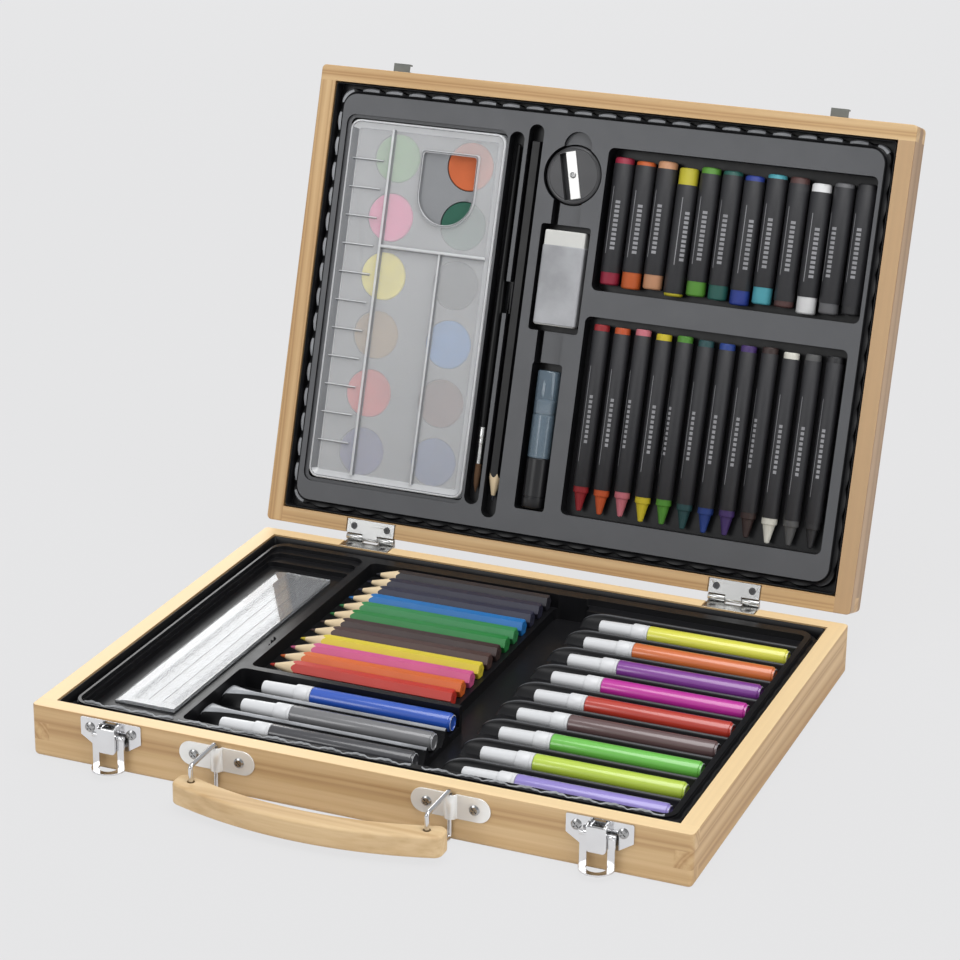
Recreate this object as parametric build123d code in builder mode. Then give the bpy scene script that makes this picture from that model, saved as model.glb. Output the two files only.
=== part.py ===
from build123d import *
import os
from math import cos, radians, sin

os.makedirs("parts", exist_ok=True)

# A wooden art set box, lying open. All sizes are in millimetres.
# The origin is the centre of the base's underside, the front faces -Y and the hinges are at +Y.
# The case is as wide and as deep as its trays, and the trays as what lies in them.

# The wooden case
base_height = 24.2
lid_height = 20.0
side_wall = 8.1
end_wall = 7.5
panel_thick = 2.6
panel_seat = 4.0
wood_fit = 0.05
finger_count = 3
corner_round = 2.2
rim_round = 0.5
rim_gap = 0.1
open_angle = 107.7

# The hinges
hinge_from_side = 56.4
leaf_width = 25.0
leaf_depth = 6.9
leaf_thick = 1.0
mortise_play = 0.6
knuckle_radius = 1.6
pin_hole_radius = 0.85
pin_radius = 0.8
knuckle_gap = 0.2
knuckle_to_wall = 0.23
knuckle_above_rim = 0.24
web_thick = 1.0
stop_gap = 0.03
hinge_screw_x = 8.8
hinge_screw_in = 3.6

# Screws, as head radius, head height, shank radius and length
small_screw = (1.6, 0.5, 0.75, 6.0)
front_screw = (2.25, 0.8, 0.9, 5.6)
flat_screw = (1.7, 0.9, 0.75, 6.5)
recess_width = 0.5
recess_depth = 0.45
screw_fit = 0.05

# The draw latches, with places given as height above the ground and distance out from the face
latch_from_side = 39.1
sheet = 0.8
latch_top = 23.6
latch_shoulder = 15.2
latch_bottom = 11.0
latch_half_top = 14.5
latch_half_bottom = 8.0
latch_screw_x = 10.0
latch_screw_z = 19.2
pivot_z = 20.7
pivot_out = 3.1
pivot_radius = 0.5
pivot_fit = 0.05
ear_inset = 2.5
ear_radius = 0.95
slot_height = 0.9
lever_half = 4.25
lever_sheet = 0.6
lever_length = 10.3
lever_radius = 2.2
lever_back = 2.0
lever_toe = 1.6
lever_over = 0.8
stud_drop = 3.0
bail_inner = 4.45
bail_strap = 3.1
bail_sheet = 0.8
bail_barrel = 1.1
bail_floor_gap = 2.6
bail_lip_band = 2.6
strike_half = 4.3
strike_from_rim = 7.6
strike_flange = 9.0
strike_reach = 4.5
strike_hook = 3.4
strike_screw_in = 6.6

# The carrying handle with its two wire links
handle_centre = -7.15
bracket_half = 53.35
plate_length = 35.3
plate_height = 11.0
plate_centre_z = 16.2
plate_screw_x = 10.6
channel_outer = 3.0
channel_inner = 2.3
wire_radius = 1.05
wire_out = 1.15
wire_top = 23.4
wire_bottom = 2.2
wire_bend = 1.5
link_reach = 18.2
link_swing = 7.6
hook_top = 20.4
hook_in_handle = 4.0
hook_hole_extra = 0.6
handle_bottom = 3.4
handle_thick = 10.0
handle_past_hook = 7.65
handle_front_bow = 14.1
handle_front_end = 3.8
handle_back_bow = 3.8
handle_back_end = 8.0
handle_hole_radius = 1.75
handle_end_round = 4.0
handle_edge_round = 1.4

# The formed plastic trays, with heights measured down from the rim of their half
tray_sheet = 1.0
tray_gap = 0.6
pocket_round = 3.0
small_round = 1.5
base_deck = 1.5
lid_deck = 2.0
item_gap = 0.35
flat_gap = 0.1
joint_gap = 0.2
stick_gap = 0.2
lead_radius = 0.9
wrap_gap = 0.05
wrap_thick = 0.3

# What lies in the base. A play is the room before and after a piece or a row, along x or y
ruler_length = 160.0
ruler_width = 29.0
ruler_thick = 1.5
ruler_floor = 8.0
ruler_play_x = (3.0, 7.0)
ruler_play_y = (14.0, 6.0)
pencil_count = 12
pencil_flats = 6.8
pencil_length = 89.4
pencil_cone = 13.5
pencil_between = 3.7
pencil_floor = 8.5
pencil_play_x = (4.1, 5.0)
pencil_play_y = (11.7, 4.3)
marker_radius = 4.25
marker_length = 91.0
marker_cap_narrow = 16.0
marker_cap_collar = 8.0
marker_narrow_radius = 3.5
marker_cap_taper = 0.3
marker_bore_radius = 2.8
marker_neck_radius = 2.6
marker_neck_length = 10.0
marker_nib_radius = 0.8
marker_nib_length = 14.0
marker_bore_spare = 3.0
marker_floor = 10.75
left_marker_count = 3
left_marker_between = 11.9
left_marker_play_x = (13.5, 3.5)
left_marker_play_y = (12.6, 5.6)
right_marker_count = 9
right_marker_between = 12.26
right_marker_play_x = (13.9, 2.6)
right_marker_play_y = (10.6, 21.32)
ridge_crest = 4.0
ridge_crest_half = 1.0
ridge_gap = 0.75

# The base tray's margins at its edges, and the webs and gaps between its pockets
base_margin_x = (11.3, 6.8)
ruler_margin_y = (9.4, 21.4)
left_margin_y = (6.4, 10.4)
right_margin_y = (6.4, 6.4)
ruler_web = 5.0
pencil_web = 7.5
pencil_marker_web = 3.5
basin_web = 5.0
channel_width = 12.0
channel_floor = 14.0
channel_overlap = 3.0
channel_near_extra = 0.5
channel_end_extra = 2.5
ruler_notch_reach = 5.5
ruler_notch_y = (69.4, 101.4)

# What lies in the lid, with its play in the same way
tablet_radius = 11.75
tablet_thick = 4.4
tablet_rows = 6
tablet_web_x = 14.4
tablet_web_y = 4.8
tablet_margin_x = (13.75, 5.65)
tablet_margin_y = (3.6, 5.0)
paint_box_deep = 8.6
paint_floor = 13.0
paint_play_x = (0.55, 0.55)
paint_play_y = (0.6, 0.6)
palette_thick = 1.0
palette_rim = 1.6
palette_rib = 0.8
palette_rib_x = 22.85
palette_short_rib_x = 54.85
palette_rib_y = 117.3
thumb_hole_width = 28.0
thumb_hole_length = 34.3
thumb_hole_x = 54.05
thumb_hole_drop = 12.5
brush_radius = 2.6
brush_length = 170.0
ferrule_length = 18.0
tuft_length = 14.0
brush_play_x = (1.2, 1.2)
brush_play_y = (5.75, 5.75)
graphite_length = 175.0
graphite_flats = 6.3
graphite_play_x = (0.16, 0.16)
graphite_play_y = (8.1, 7.9)
slot_floor = 9.5
slot_end_flat = 0.1
sharpener_radius = 14.0
sharpener_thick = 9.0
sharpener_floor = 12.5
sharpener_play = 0.7
sharpener_groove = 3.4
sharpener_groove_depth = 4.0
blade_length = 23.0
blade_width = 5.0
blade_thick = 0.6
blade_turn = 14.0
blade_screw = (1.5, 0.6, 0.8, 4.0)
eraser_width = 21.5
eraser_length = 45.8
eraser_thick = 10.5
eraser_play = 0.7
sleeve_length = 38.0
sleeve_thick = 0.4
eraser_floor = 12.5
eraser_end = 0.5
eraser_round = 0.8
glue_length = 67.0
glue_radius = 5.85
glue_cap_length = 20.7
glue_floor = 12.9
glue_wall = 0.9
glue_side_play = 1.25
glue_play_y = (0.8, 3.5)
stick_count = 12
pastel_length = 61.0
pastel_radius = 4.65
pastel_bevel = 0.6
pastel_between = 0.83
pastel_bare_low = (6.0, 8.0, 7.0, 1.5, 7.0, 7.0, 7.0, 8.0, 3.0, 8.0, 5.0, 4.0)
pastel_bare_high = (3.0, 2.0, 3.5, 8.0, 3.0, 2.0, 2.5, 2.0, 3.0, 4.0, 2.0, 3.0)
pastel_floor = 13.2
pastel_play_x = (1.8, 0.77)
pastel_play_y = (2.4, 4.9)
crayon_length = 90.0
crayon_radius = 3.75
crayon_between = 2.28
crayon_cone = 9.0
crayon_tip_radius = 1.2
crayon_bare = 3.0
crayon_floor = 10.0
crayon_play_x = (3.7, 2.2)
crayon_play_y = (2.0, 3.9)

# The lid tray's margins at its edges, and the webs and finger gaps between its pockets
lid_margin_x = (9.3, 6.4)
paint_margin_y = (15.7, 16.1)
brush_margin_y = (14.9, 14.4)
graphite_margin_y = (9.8, 10.0)
middle_margin_y = (16.5, 17.5)
stick_margin_y = (17.0, 17.1)
paint_web = 1.0
slot_web = 2.0
middle_web = 2.35
stick_web = 1.15
pastel_shift = 0.8
glue_eraser_web = 17.4
eraser_sharpener_web = 11.5
crayon_pastel_web = 12.5
slot_notch_y = (108.9, 124.4)
eraser_neck_width = 13.4
eraser_neck_overlap = 5.0
eraser_neck_stop = 9.2
glue_neck_width = 12.0
glue_neck_overlap = (3.4, 3.2)
sharpener_notch_side = 0.95
sharpener_notch_overlap = 0.2
sharpener_notch_radius = 7.0
neck_floor = 6.0


def room(play, size):
    """The room that a piece or a row takes with its play before and after it."""
    return play[0] + size + play[1]


def span(count, pitch):
    """The distance from the first centre of a row to its last."""
    return (count - 1) * pitch


# Pitches and sizes worked out from the pieces
pencil_pitch = pencil_flats + pencil_between
left_marker_pitch = 2 * marker_radius + left_marker_between
right_marker_pitch = 2 * marker_radius + right_marker_between
pastel_wrapped = pastel_radius + wrap_gap + wrap_thick
crayon_wrapped = crayon_radius + wrap_gap + wrap_thick
pastel_pitch = 2 * pastel_wrapped + pastel_between
crayon_pitch = 2 * crayon_wrapped + crayon_between
marker_centre = marker_floor - marker_radius - stick_gap
pastel_centre = pastel_floor - pastel_wrapped - stick_gap
crayon_centre = crayon_floor - crayon_wrapped - stick_gap
tablet_hole = tablet_radius + item_gap
tablet_across = 2 * tablet_hole + tablet_web_x
tablet_pitch = 2 * tablet_hole + tablet_web_y
paint_box_width = room(tablet_margin_x, tablet_across + 2 * tablet_hole)
paint_box_length = room(tablet_margin_y, span(tablet_rows, tablet_pitch) + 2 * tablet_hole)

# The base tray's pockets, from its left edge and from its near edge
ruler_x0 = base_margin_x[0]
ruler_x1 = ruler_x0 + room(ruler_play_x, ruler_width)
pencil_x0 = ruler_x1 + pencil_web
pencil_x1 = pencil_x0 + room(pencil_play_x, pencil_length)
left_x0 = ruler_x1 + ruler_web
left_x1 = left_x0 + room(left_marker_play_x, marker_length)
right_x0 = max(left_x1 + basin_web, pencil_x1 + channel_width)
right_x1 = right_x0 + room(right_marker_play_x, marker_length)
ruler_y0 = ruler_margin_y[0]
ruler_y1 = ruler_y0 + room(ruler_play_y, ruler_length)
left_y0 = left_margin_y[0]
left_y1 = left_y0 + room(left_marker_play_y, span(left_marker_count, left_marker_pitch))
pencil_y0 = left_y1 + pencil_marker_web
pencil_y1 = pencil_y0 + room(pencil_play_y, span(pencil_count, pencil_pitch))
right_y0 = right_margin_y[0]
right_y1 = right_y0 + room(right_marker_play_y, span(right_marker_count, right_marker_pitch))

# The lid tray's pockets, in the same way
paint_x0 = lid_margin_x[0]
paint_x1 = paint_x0 + room(paint_play_x, paint_box_width)
brush_x0 = paint_x1 + paint_web
brush_x1 = brush_x0 + room(brush_play_x, 2 * brush_radius)
graphite_x0 = brush_x1 + slot_web
graphite_x1 = graphite_x0 + room(graphite_play_x, graphite_flats / cos(radians(30)))
sharpener_hole = sharpener_radius + sharpener_play
eraser_half = eraser_width / 2 + eraser_play
glue_half = glue_radius + glue_side_play
middle_half = max(sharpener_hole, eraser_half, glue_half)
middle_x = graphite_x1 + middle_web + middle_half
crayon_x0 = middle_x + middle_half + stick_web
crayon_x1 = crayon_x0 + room(crayon_play_x, span(stick_count, crayon_pitch) + 2 * crayon_wrapped)
pastel_x0 = crayon_x0 + pastel_shift
pastel_x1 = pastel_x0 + room(pastel_play_x, span(stick_count, pastel_pitch) + 2 * pastel_wrapped)
paint_y0 = paint_margin_y[0]
paint_y1 = paint_y0 + room(paint_play_y, paint_box_length)
brush_y0 = brush_margin_y[0]
brush_y1 = brush_y0 + room(brush_play_y, brush_length)
graphite_y0 = graphite_margin_y[0]
graphite_y1 = graphite_y0 + room(graphite_play_y, graphite_length)
glue_y0 = middle_margin_y[0]
glue_y1 = glue_y0 + room(glue_play_y, glue_length)
eraser_y0 = glue_y1 + glue_eraser_web
eraser_y1 = eraser_y0 + eraser_length + 2 * eraser_play
sharpener_y = eraser_y1 + eraser_sharpener_web + sharpener_hole
crayon_y0 = stick_margin_y[0]
crayon_y1 = crayon_y0 + room(crayon_play_y, crayon_length)
pastel_y0 = crayon_y1 + crayon_pastel_web
pastel_y1 = pastel_y0 + room(pastel_play_y, pastel_length)

# The trays are as large as the fuller of the two needs, and the case goes round them
tray_width = max(
    right_x1 + base_margin_x[1],
    pastel_x1 + lid_margin_x[1],
    crayon_x1 + lid_margin_x[1],
)
tray_depth = max(
    ruler_y1 + ruler_margin_y[1],
    pencil_y1 + left_margin_y[1],
    right_y1 + right_margin_y[1],
    paint_y1 + paint_margin_y[1],
    brush_y1 + brush_margin_y[1],
    graphite_y1 + graphite_margin_y[1],
    sharpener_y + sharpener_hole + middle_margin_y[1],
    pastel_y1 + stick_margin_y[1],
)
tray_half_x = tray_width / 2
tray_half_y = tray_depth / 2
inner_x = tray_half_x + tray_gap
inner_y = tray_half_y + tray_gap
box_width = 2 * (inner_x + side_wall)
box_depth = 2 * (inner_y + end_wall)
front_face = -box_depth / 2
hinge_x = box_width / 2 - hinge_from_side
hinge_y = box_depth / 2 + knuckle_to_wall + knuckle_radius
hinge_z = base_height + knuckle_above_rim + knuckle_radius
latch_x = box_width / 2 - latch_from_side


def pocket(x0, x1, y0, y1):
    """A pocket about the tray's centre, from its places along the tray's edges."""
    return (x0 - tray_half_x, x1 - tray_half_x, y0 - tray_half_y, y1 - tray_half_y)


def middle_pocket(half_width, y0, y1):
    """A pocket in the middle column of the lid tray."""
    return pocket(middle_x - half_width, middle_x + half_width, y0, y1)


# The pockets, as x from and to, y from and to
ruler_well = pocket(ruler_x0, ruler_x1, ruler_y0, ruler_y1)
ruler_notch = pocket(ruler_x1 - channel_overlap, ruler_x1 + ruler_notch_reach, *ruler_notch_y)
pencil_well = pocket(pencil_x0, pencil_x1, pencil_y0, pencil_y1)
left_basin = pocket(left_x0, left_x1, left_y0, left_y1)
right_basin = pocket(right_x0, right_x1, right_y0, right_y1)
channel_x1 = right_x0 + channel_overlap
deep_channel = pocket(pencil_x1 - channel_overlap, channel_x1, pencil_y0 - channel_near_extra, pencil_y1)
channel_end = pocket(left_x1 - channel_overlap, channel_x1, left_y0, pencil_y0 + channel_end_extra)
paint_well = pocket(paint_x0, paint_x1, paint_y0, paint_y1)
brush_slot = pocket(brush_x0, brush_x1, brush_y0, brush_y1)
graphite_slot = pocket(graphite_x0, graphite_x1, graphite_y0, graphite_y1)
slot_notch = pocket(brush_x0, graphite_x1, *slot_notch_y)
slot_round = min(brush_x1 - brush_x0, graphite_x1 - graphite_x0) / 2 - slot_end_flat
eraser_well = middle_pocket(eraser_half, eraser_y0, eraser_y1)
eraser_neck = middle_pocket(
    eraser_neck_width / 2, eraser_y1 - eraser_neck_overlap, sharpener_y - eraser_neck_stop
)
glue_well = middle_pocket(glue_half, glue_y0, glue_y1)
glue_neck = middle_pocket(
    glue_neck_width / 2, glue_y1 - glue_neck_overlap[0], eraser_y0 + glue_neck_overlap[1]
)
pastel_well = pocket(pastel_x0, pastel_x1, pastel_y0, pastel_y1)
crayon_well = pocket(crayon_x0, crayon_x1, crayon_y0, crayon_y1)

# Where the pieces lie in their pockets
column_x = middle_x - tray_half_x
ruler_centre = (
    ruler_well[0] + ruler_play_x[0] + ruler_width / 2,
    ruler_well[2] + ruler_play_y[0] + ruler_length / 2,
)
pencil_tip_x = pencil_well[0] + pencil_play_x[0]
pencil_first_y = pencil_well[2] + pencil_play_y[0]
left_marker_x = left_basin[0] + left_marker_play_x[0]
left_marker_y = left_basin[2] + left_marker_play_y[0]
right_marker_x = right_basin[0] + right_marker_play_x[0]
right_marker_y = right_basin[2] + right_marker_play_y[0]
paint_left = paint_well[0] + paint_play_x[0]
paint_near = paint_well[2] + paint_play_y[0]
paint_right = paint_left + paint_box_width
paint_far = paint_near + paint_box_length
paint_box_centre = ((paint_left + paint_right) / 2, (paint_near + paint_far) / 2)
tablet_first_x = paint_left + tablet_margin_x[0] + tablet_hole
tablet_first_y = paint_near + tablet_margin_y[0] + tablet_hole
brush_x = (brush_slot[0] + brush_slot[1]) / 2
brush_low = brush_slot[2] + brush_play_y[0]
graphite_x = (graphite_slot[0] + graphite_slot[1]) / 2
graphite_low = graphite_slot[2] + graphite_play_y[0]
sharpener_centre = (column_x, sharpener_y - tray_half_y)
sharpener_notch = (
    column_x + sharpener_notch_side,
    sharpener_centre[1] + sharpener_radius - sharpener_notch_overlap,
)
eraser_near = eraser_well[2] + eraser_play
glue_near = glue_well[2] + glue_play_y[0]
pastel_x = pastel_well[0] + pastel_play_x[0] + pastel_wrapped
pastel_y = pastel_well[2] + pastel_play_y[0]
crayon_x = crayon_well[0] + crayon_play_x[0] + crayon_wrapped
crayon_y = crayon_well[2] + crayon_play_y[0]

# The planes at the two rims: local z points out of each half, so its contents are at minus z
BASE = Plane.XY.offset(base_height)
LID = Plane(
    Location((0, hinge_y, hinge_z), (-open_angle, 0, 0))
    * Location((0, -hinge_y, base_height + rim_gap - hinge_z), (180, 0, 0))
)
FRONT = Plane(origin=(0, front_face, 0), x_dir=(1, 0, 0), z_dir=(0, -1, 0))
LID_FRONT = Plane(
    LID.location
    * Plane(origin=(0, box_depth / 2, 0), x_dir=(1, 0, 0), z_dir=(0, 1, 0)).location
)


def save(block, name):
    """Label the finished piece and write it under its node's name."""
    block.part.label = name
    export_step(block.part, "parts/" + name + ".step")


def across(x):
    """The plane across the front at x: local x points out of the front face, local y up."""
    return Plane(origin=(x, front_face, 0), x_dir=(0, -1, 0), z_dir=(-1, 0, 0))


def lid_across(x):
    """The plane across the lid's free edge at x: local x points out of its face, y away from the rim."""
    place = Plane(origin=(x, 0, 0), x_dir=(0, 0, 1), z_dir=(-1, 0, 0)).location
    return Plane(LID_FRONT.location * place)


def wood_screw(size):
    """A pan-head wood screw in the current locations, its head on local z = 0."""
    head_radius, head_height, shank_radius, length = size
    shank = length - 2 * shank_radius
    Cylinder(head_radius, head_height / 2, align=(Align.CENTER, Align.CENTER, Align.MIN))
    with Locations((0, 0, head_height / 2)):
        Cone(head_radius, head_radius * 0.7, head_height / 2, align=(Align.CENTER, Align.CENTER, Align.MIN))
    Cylinder(shank_radius, shank, align=(Align.CENTER, Align.CENTER, Align.MAX))
    with Locations((0, 0, -shank)):
        Cone(0.15, shank_radius, 2 * shank_radius, align=(Align.CENTER, Align.CENTER, Align.MAX))
    with Locations((0, 0, head_height)):
        for turn in (45, 135):
            Box(
                1.3 * head_radius,
                recess_width,
                2 * recess_depth,
                rotation=(0, 0, turn),
                mode=Mode.SUBTRACT,
            )


def sunk_screw(size):
    """A countersunk wood screw in the current locations, its flat top at local z = 0."""
    head_radius, head_height, shank_radius, length = size
    shank = length - 2 * shank_radius
    Cone(shank_radius, head_radius, head_height, align=(Align.CENTER, Align.CENTER, Align.MAX))
    Cylinder(shank_radius, shank, align=(Align.CENTER, Align.CENTER, Align.MAX))
    with Locations((0, 0, -shank)):
        Cone(0.15, shank_radius, 2 * shank_radius, align=(Align.CENTER, Align.CENTER, Align.MAX))
    for turn in (45, 135):
        Box(
            1.3 * head_radius,
            recess_width,
            2 * recess_depth,
            rotation=(0, 0, turn),
            mode=Mode.SUBTRACT,
        )


def screw_hole(size):
    """The hole that such a screw leaves in the wood or sheet below it."""
    Cylinder(size[2] + screw_fit, 2 * (size[3] + screw_fit), mode=Mode.SUBTRACT)


def countersink(size):
    """The countersunk hole for a flat screw whose top is at local z = 0."""
    head_radius, head_height, shank_radius, length = size
    fit = screw_fit
    Cone(
        shank_radius + fit,
        head_radius + fit,
        head_height,
        align=(Align.CENTER, Align.CENTER, Align.MAX),
        mode=Mode.SUBTRACT,
    )
    screw_hole(size)


def centre_box(x0, x1, y0, y1, z0, z1, mode=Mode.ADD):
    """A box from corner to corner."""
    with Locations(((x0 + x1) / 2, (y0 + y1) / 2, (z0 + z1) / 2)):
        Box(x1 - x0, y1 - y0, z1 - z0, mode=mode)


def envelope_of(height):
    """The rounded outline of one half, with its rim at z = 0 and the rest below."""
    with BuildPart() as envelope:
        with BuildSketch(Plane.XY.offset(-height)):
            RectangleRounded(box_width, box_depth, corner_round)
        extrude(amount=height)
        fillet(envelope.faces().sort_by(Axis.Z)[0].edges(), corner_round * 0.95)
        fillet(envelope.faces().sort_by(Axis.Z)[-1].edges(), rim_round)
    return envelope.part


# Each half has four boards with finger joints at the corners and a thin panel let into them.
# The hinge side is at +Y in the base and at -Y in the lid's own plane.
def make_half(name, rim, height, hinge_sign, front_plane, front_holes):
    finger = height / finger_count
    envelope = envelope_of(height)
    panel_half_x = inner_x + panel_seat
    panel_half_y = inner_y + panel_seat
    middle = -height / 2
    outside = box_width / 2
    free_y = -hinge_sign * (box_depth - end_wall) / 2
    hinge_side_y = hinge_sign * (box_depth - end_wall) / 2

    def cut_panel():
        with Locations((0, 0, -height)):
            Box(
                2 * (panel_half_x + wood_fit),
                2 * (panel_half_y + wood_fit),
                2 * (panel_thick + wood_fit),
                mode=Mode.SUBTRACT,
            )

    with BuildPart(rim) as free_board:
        with Locations((0, free_y, middle)):
            Box(2 * inner_x, end_wall, height)
        for level in (-finger / 2, finger / 2 - height):
            with Locations((0, free_y, level)):
                Box(box_width, end_wall, finger)
        add(envelope, mode=Mode.INTERSECT)
        cut_panel()
        for place, size in front_holes:
            with Locations(rim.location.inverse() * front_plane.location * Location(place)):
                screw_hole(size)
    save(free_board, name + "_front_board")

    with BuildPart(rim) as hinge_board:
        with Locations((0, hinge_side_y, middle)):
            Box(2 * inner_x, end_wall, height)
            Box(box_width, end_wall, finger)
        add(envelope, mode=Mode.INTERSECT)
        cut_panel()
        for x in (-hinge_x, hinge_x):
            with Locations((x, hinge_sign * box_depth / 2, 0)):
                Box(
                    leaf_width + 2 * mortise_play,
                    2 * (leaf_depth + mortise_play / 2),
                    2 * (leaf_thick + wood_fit),
                    mode=Mode.SUBTRACT,
                )
            for offset_x in (-hinge_screw_x, hinge_screw_x):
                screw_y = hinge_sign * (box_depth / 2 - hinge_screw_in)
                with Locations((x + offset_x, screw_y, 0)):
                    screw_hole(flat_screw)
    save(hinge_board, name + "_back_board")

    for side, word in ((-1, "left"), (1, "right")):
        with BuildPart(rim) as side_board:
            side_x = side * (outside - side_wall / 2)
            with Locations((side_x, 0, middle)):
                Box(side_wall, 2 * inner_y, height)
            with Locations((side_x, free_y, middle)):
                Box(side_wall, end_wall, finger)
            for level in (-finger / 2, finger / 2 - height):
                with Locations((side_x, hinge_side_y, level)):
                    Box(side_wall, end_wall, finger)
            add(envelope, mode=Mode.INTERSECT)
            cut_panel()
        save(side_board, name + "_" + word + "_board")

    with BuildPart(rim) as panel:
        with Locations((0, 0, panel_thick / 2 - height)):
            Box(2 * panel_half_x, 2 * panel_half_y, panel_thick)
    save(panel, name + "_panel")


latch_screws_at = [
    ((side * latch_x + step * latch_screw_x, latch_screw_z, sheet), front_screw)
    for side in (-1, 1)
    for step in (-1, 1)
]
bracket_xs = (handle_centre - bracket_half, handle_centre + bracket_half)
handle_screws_at = [
    ((x + step * plate_screw_x, plate_centre_z, sheet), front_screw)
    for x in bracket_xs
    for step in (-1, 1)
]
strike_screws_at = [
    ((side * latch_x, strike_from_rim + strike_screw_in, sheet), small_screw)
    for side in (-1, 1)
]

make_half("base", BASE, base_height, 1, FRONT, latch_screws_at + handle_screws_at)
make_half("lid", LID, lid_height, -1, LID_FRONT, strike_screws_at)


def screws(name, plane, places, kind=wood_screw):
    """One node of like screws, each a separate solid."""
    with BuildPart(plane) as group:
        for place, size in places:
            with Locations(place):
                kind(size)
    save(group, name)


screws("latch_screws", FRONT, latch_screws_at)
screws("handle_screws", FRONT, handle_screws_at)
screws("strike_screws", LID_FRONT, strike_screws_at)


# The butt hinges, let into the rims. The base leaf curls up outside its middle third and
# carries the pin. A heel on it stops the lid's back board at the open angle.
axis_up = knuckle_above_rim + knuckle_radius
axis_out = knuckle_to_wall + knuckle_radius
middle_width = leaf_width / 3
heel_up = (axis_out - stop_gap + cos(radians(open_angle)) * knuckle_radius) / sin(radians(open_angle))


def x_cylinder(radius, length, mode=Mode.ADD):
    """A cylinder along x at the current locations."""
    Cylinder(radius, length, rotation=(0, 90, 0), mode=mode)


for side, word in ((-1, "left"), (1, "right")):
    with BuildPart(BASE) as base_leaf:
        x0 = side * hinge_x
        wall = box_depth / 2
        outer_y = hinge_y + knuckle_radius
        outer_width = (leaf_width - middle_width) / 2
        leaf_left = x0 - leaf_width / 2
        leaf_right = x0 + leaf_width / 2
        centre_box(leaf_left, leaf_right, wall - leaf_depth, wall, -leaf_thick, 0)
        for step in (-1, 1):
            x = x0 + step * (middle_width + outer_width) / 2
            left = x - outer_width / 2
            right = x + outer_width / 2
            centre_box(left, right, wall - 1, outer_y, -leaf_thick, 0)
            centre_box(left, right, outer_y - web_thick, outer_y, -leaf_thick, axis_up + heel_up)
            with Locations((x, hinge_y, axis_up)):
                x_cylinder(knuckle_radius, outer_width)
        with Locations((x0, hinge_y, axis_up)):
            x_cylinder(pin_hole_radius, leaf_width + 1, Mode.SUBTRACT)
        for offset_x in (-hinge_screw_x, hinge_screw_x):
            with Locations((x0 + offset_x, wall - hinge_screw_in, 0)):
                countersink(flat_screw)
    save(base_leaf, "hinge_" + word + "_base_leaf")

    with BuildPart(LID) as lid_leaf:
        axis_down = rim_gap - axis_up
        centre_box(leaf_left, leaf_right, -wall, leaf_depth - wall, -leaf_thick, 0)
        half = middle_width / 2 - knuckle_gap
        centre_box(x0 - half, x0 + half, -hinge_y, 1 - wall, -leaf_thick, 0)
        with Locations((x0, -hinge_y, axis_down)):
            x_cylinder(knuckle_radius, 2 * half)
            x_cylinder(pin_hole_radius, leaf_width, Mode.SUBTRACT)
        for offset_x in (-hinge_screw_x, hinge_screw_x):
            with Locations((x0 + offset_x, hinge_screw_in - wall, 0)):
                countersink(flat_screw)
    save(lid_leaf, "hinge_" + word + "_lid_leaf")

    with BuildPart(BASE) as hinge_pin:
        with Locations((x0, hinge_y, axis_up)):
            x_cylinder(pin_radius, leaf_width)
    save(hinge_pin, "hinge_" + word + "_pin")

hinge_screw_y = box_depth / 2 - hinge_screw_in
hinge_screw_xs = [side * hinge_x + step * hinge_screw_x for side in (-1, 1) for step in (-1, 1)]
base_screw_places = [((x, hinge_screw_y, 0), flat_screw) for x in hinge_screw_xs]
lid_screw_places = [((x, -hinge_screw_y, 0), flat_screw) for x in hinge_screw_xs]
screws("hinge_base_screws", BASE, base_screw_places, sunk_screw)
screws("hinge_lid_screws", LID, lid_screw_places, sunk_screw)


# The draw latches: a plate with two ears, a lever on the ears, and a bail on the lever's studs.
# The bail's lip reaches over the hooked strike on the lid when the box is shut.
stud_z = pivot_z - stud_drop
lip_radius = bail_inner + bail_strap
lip_shift = lip_radius - bail_lip_band - bail_inner

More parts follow.
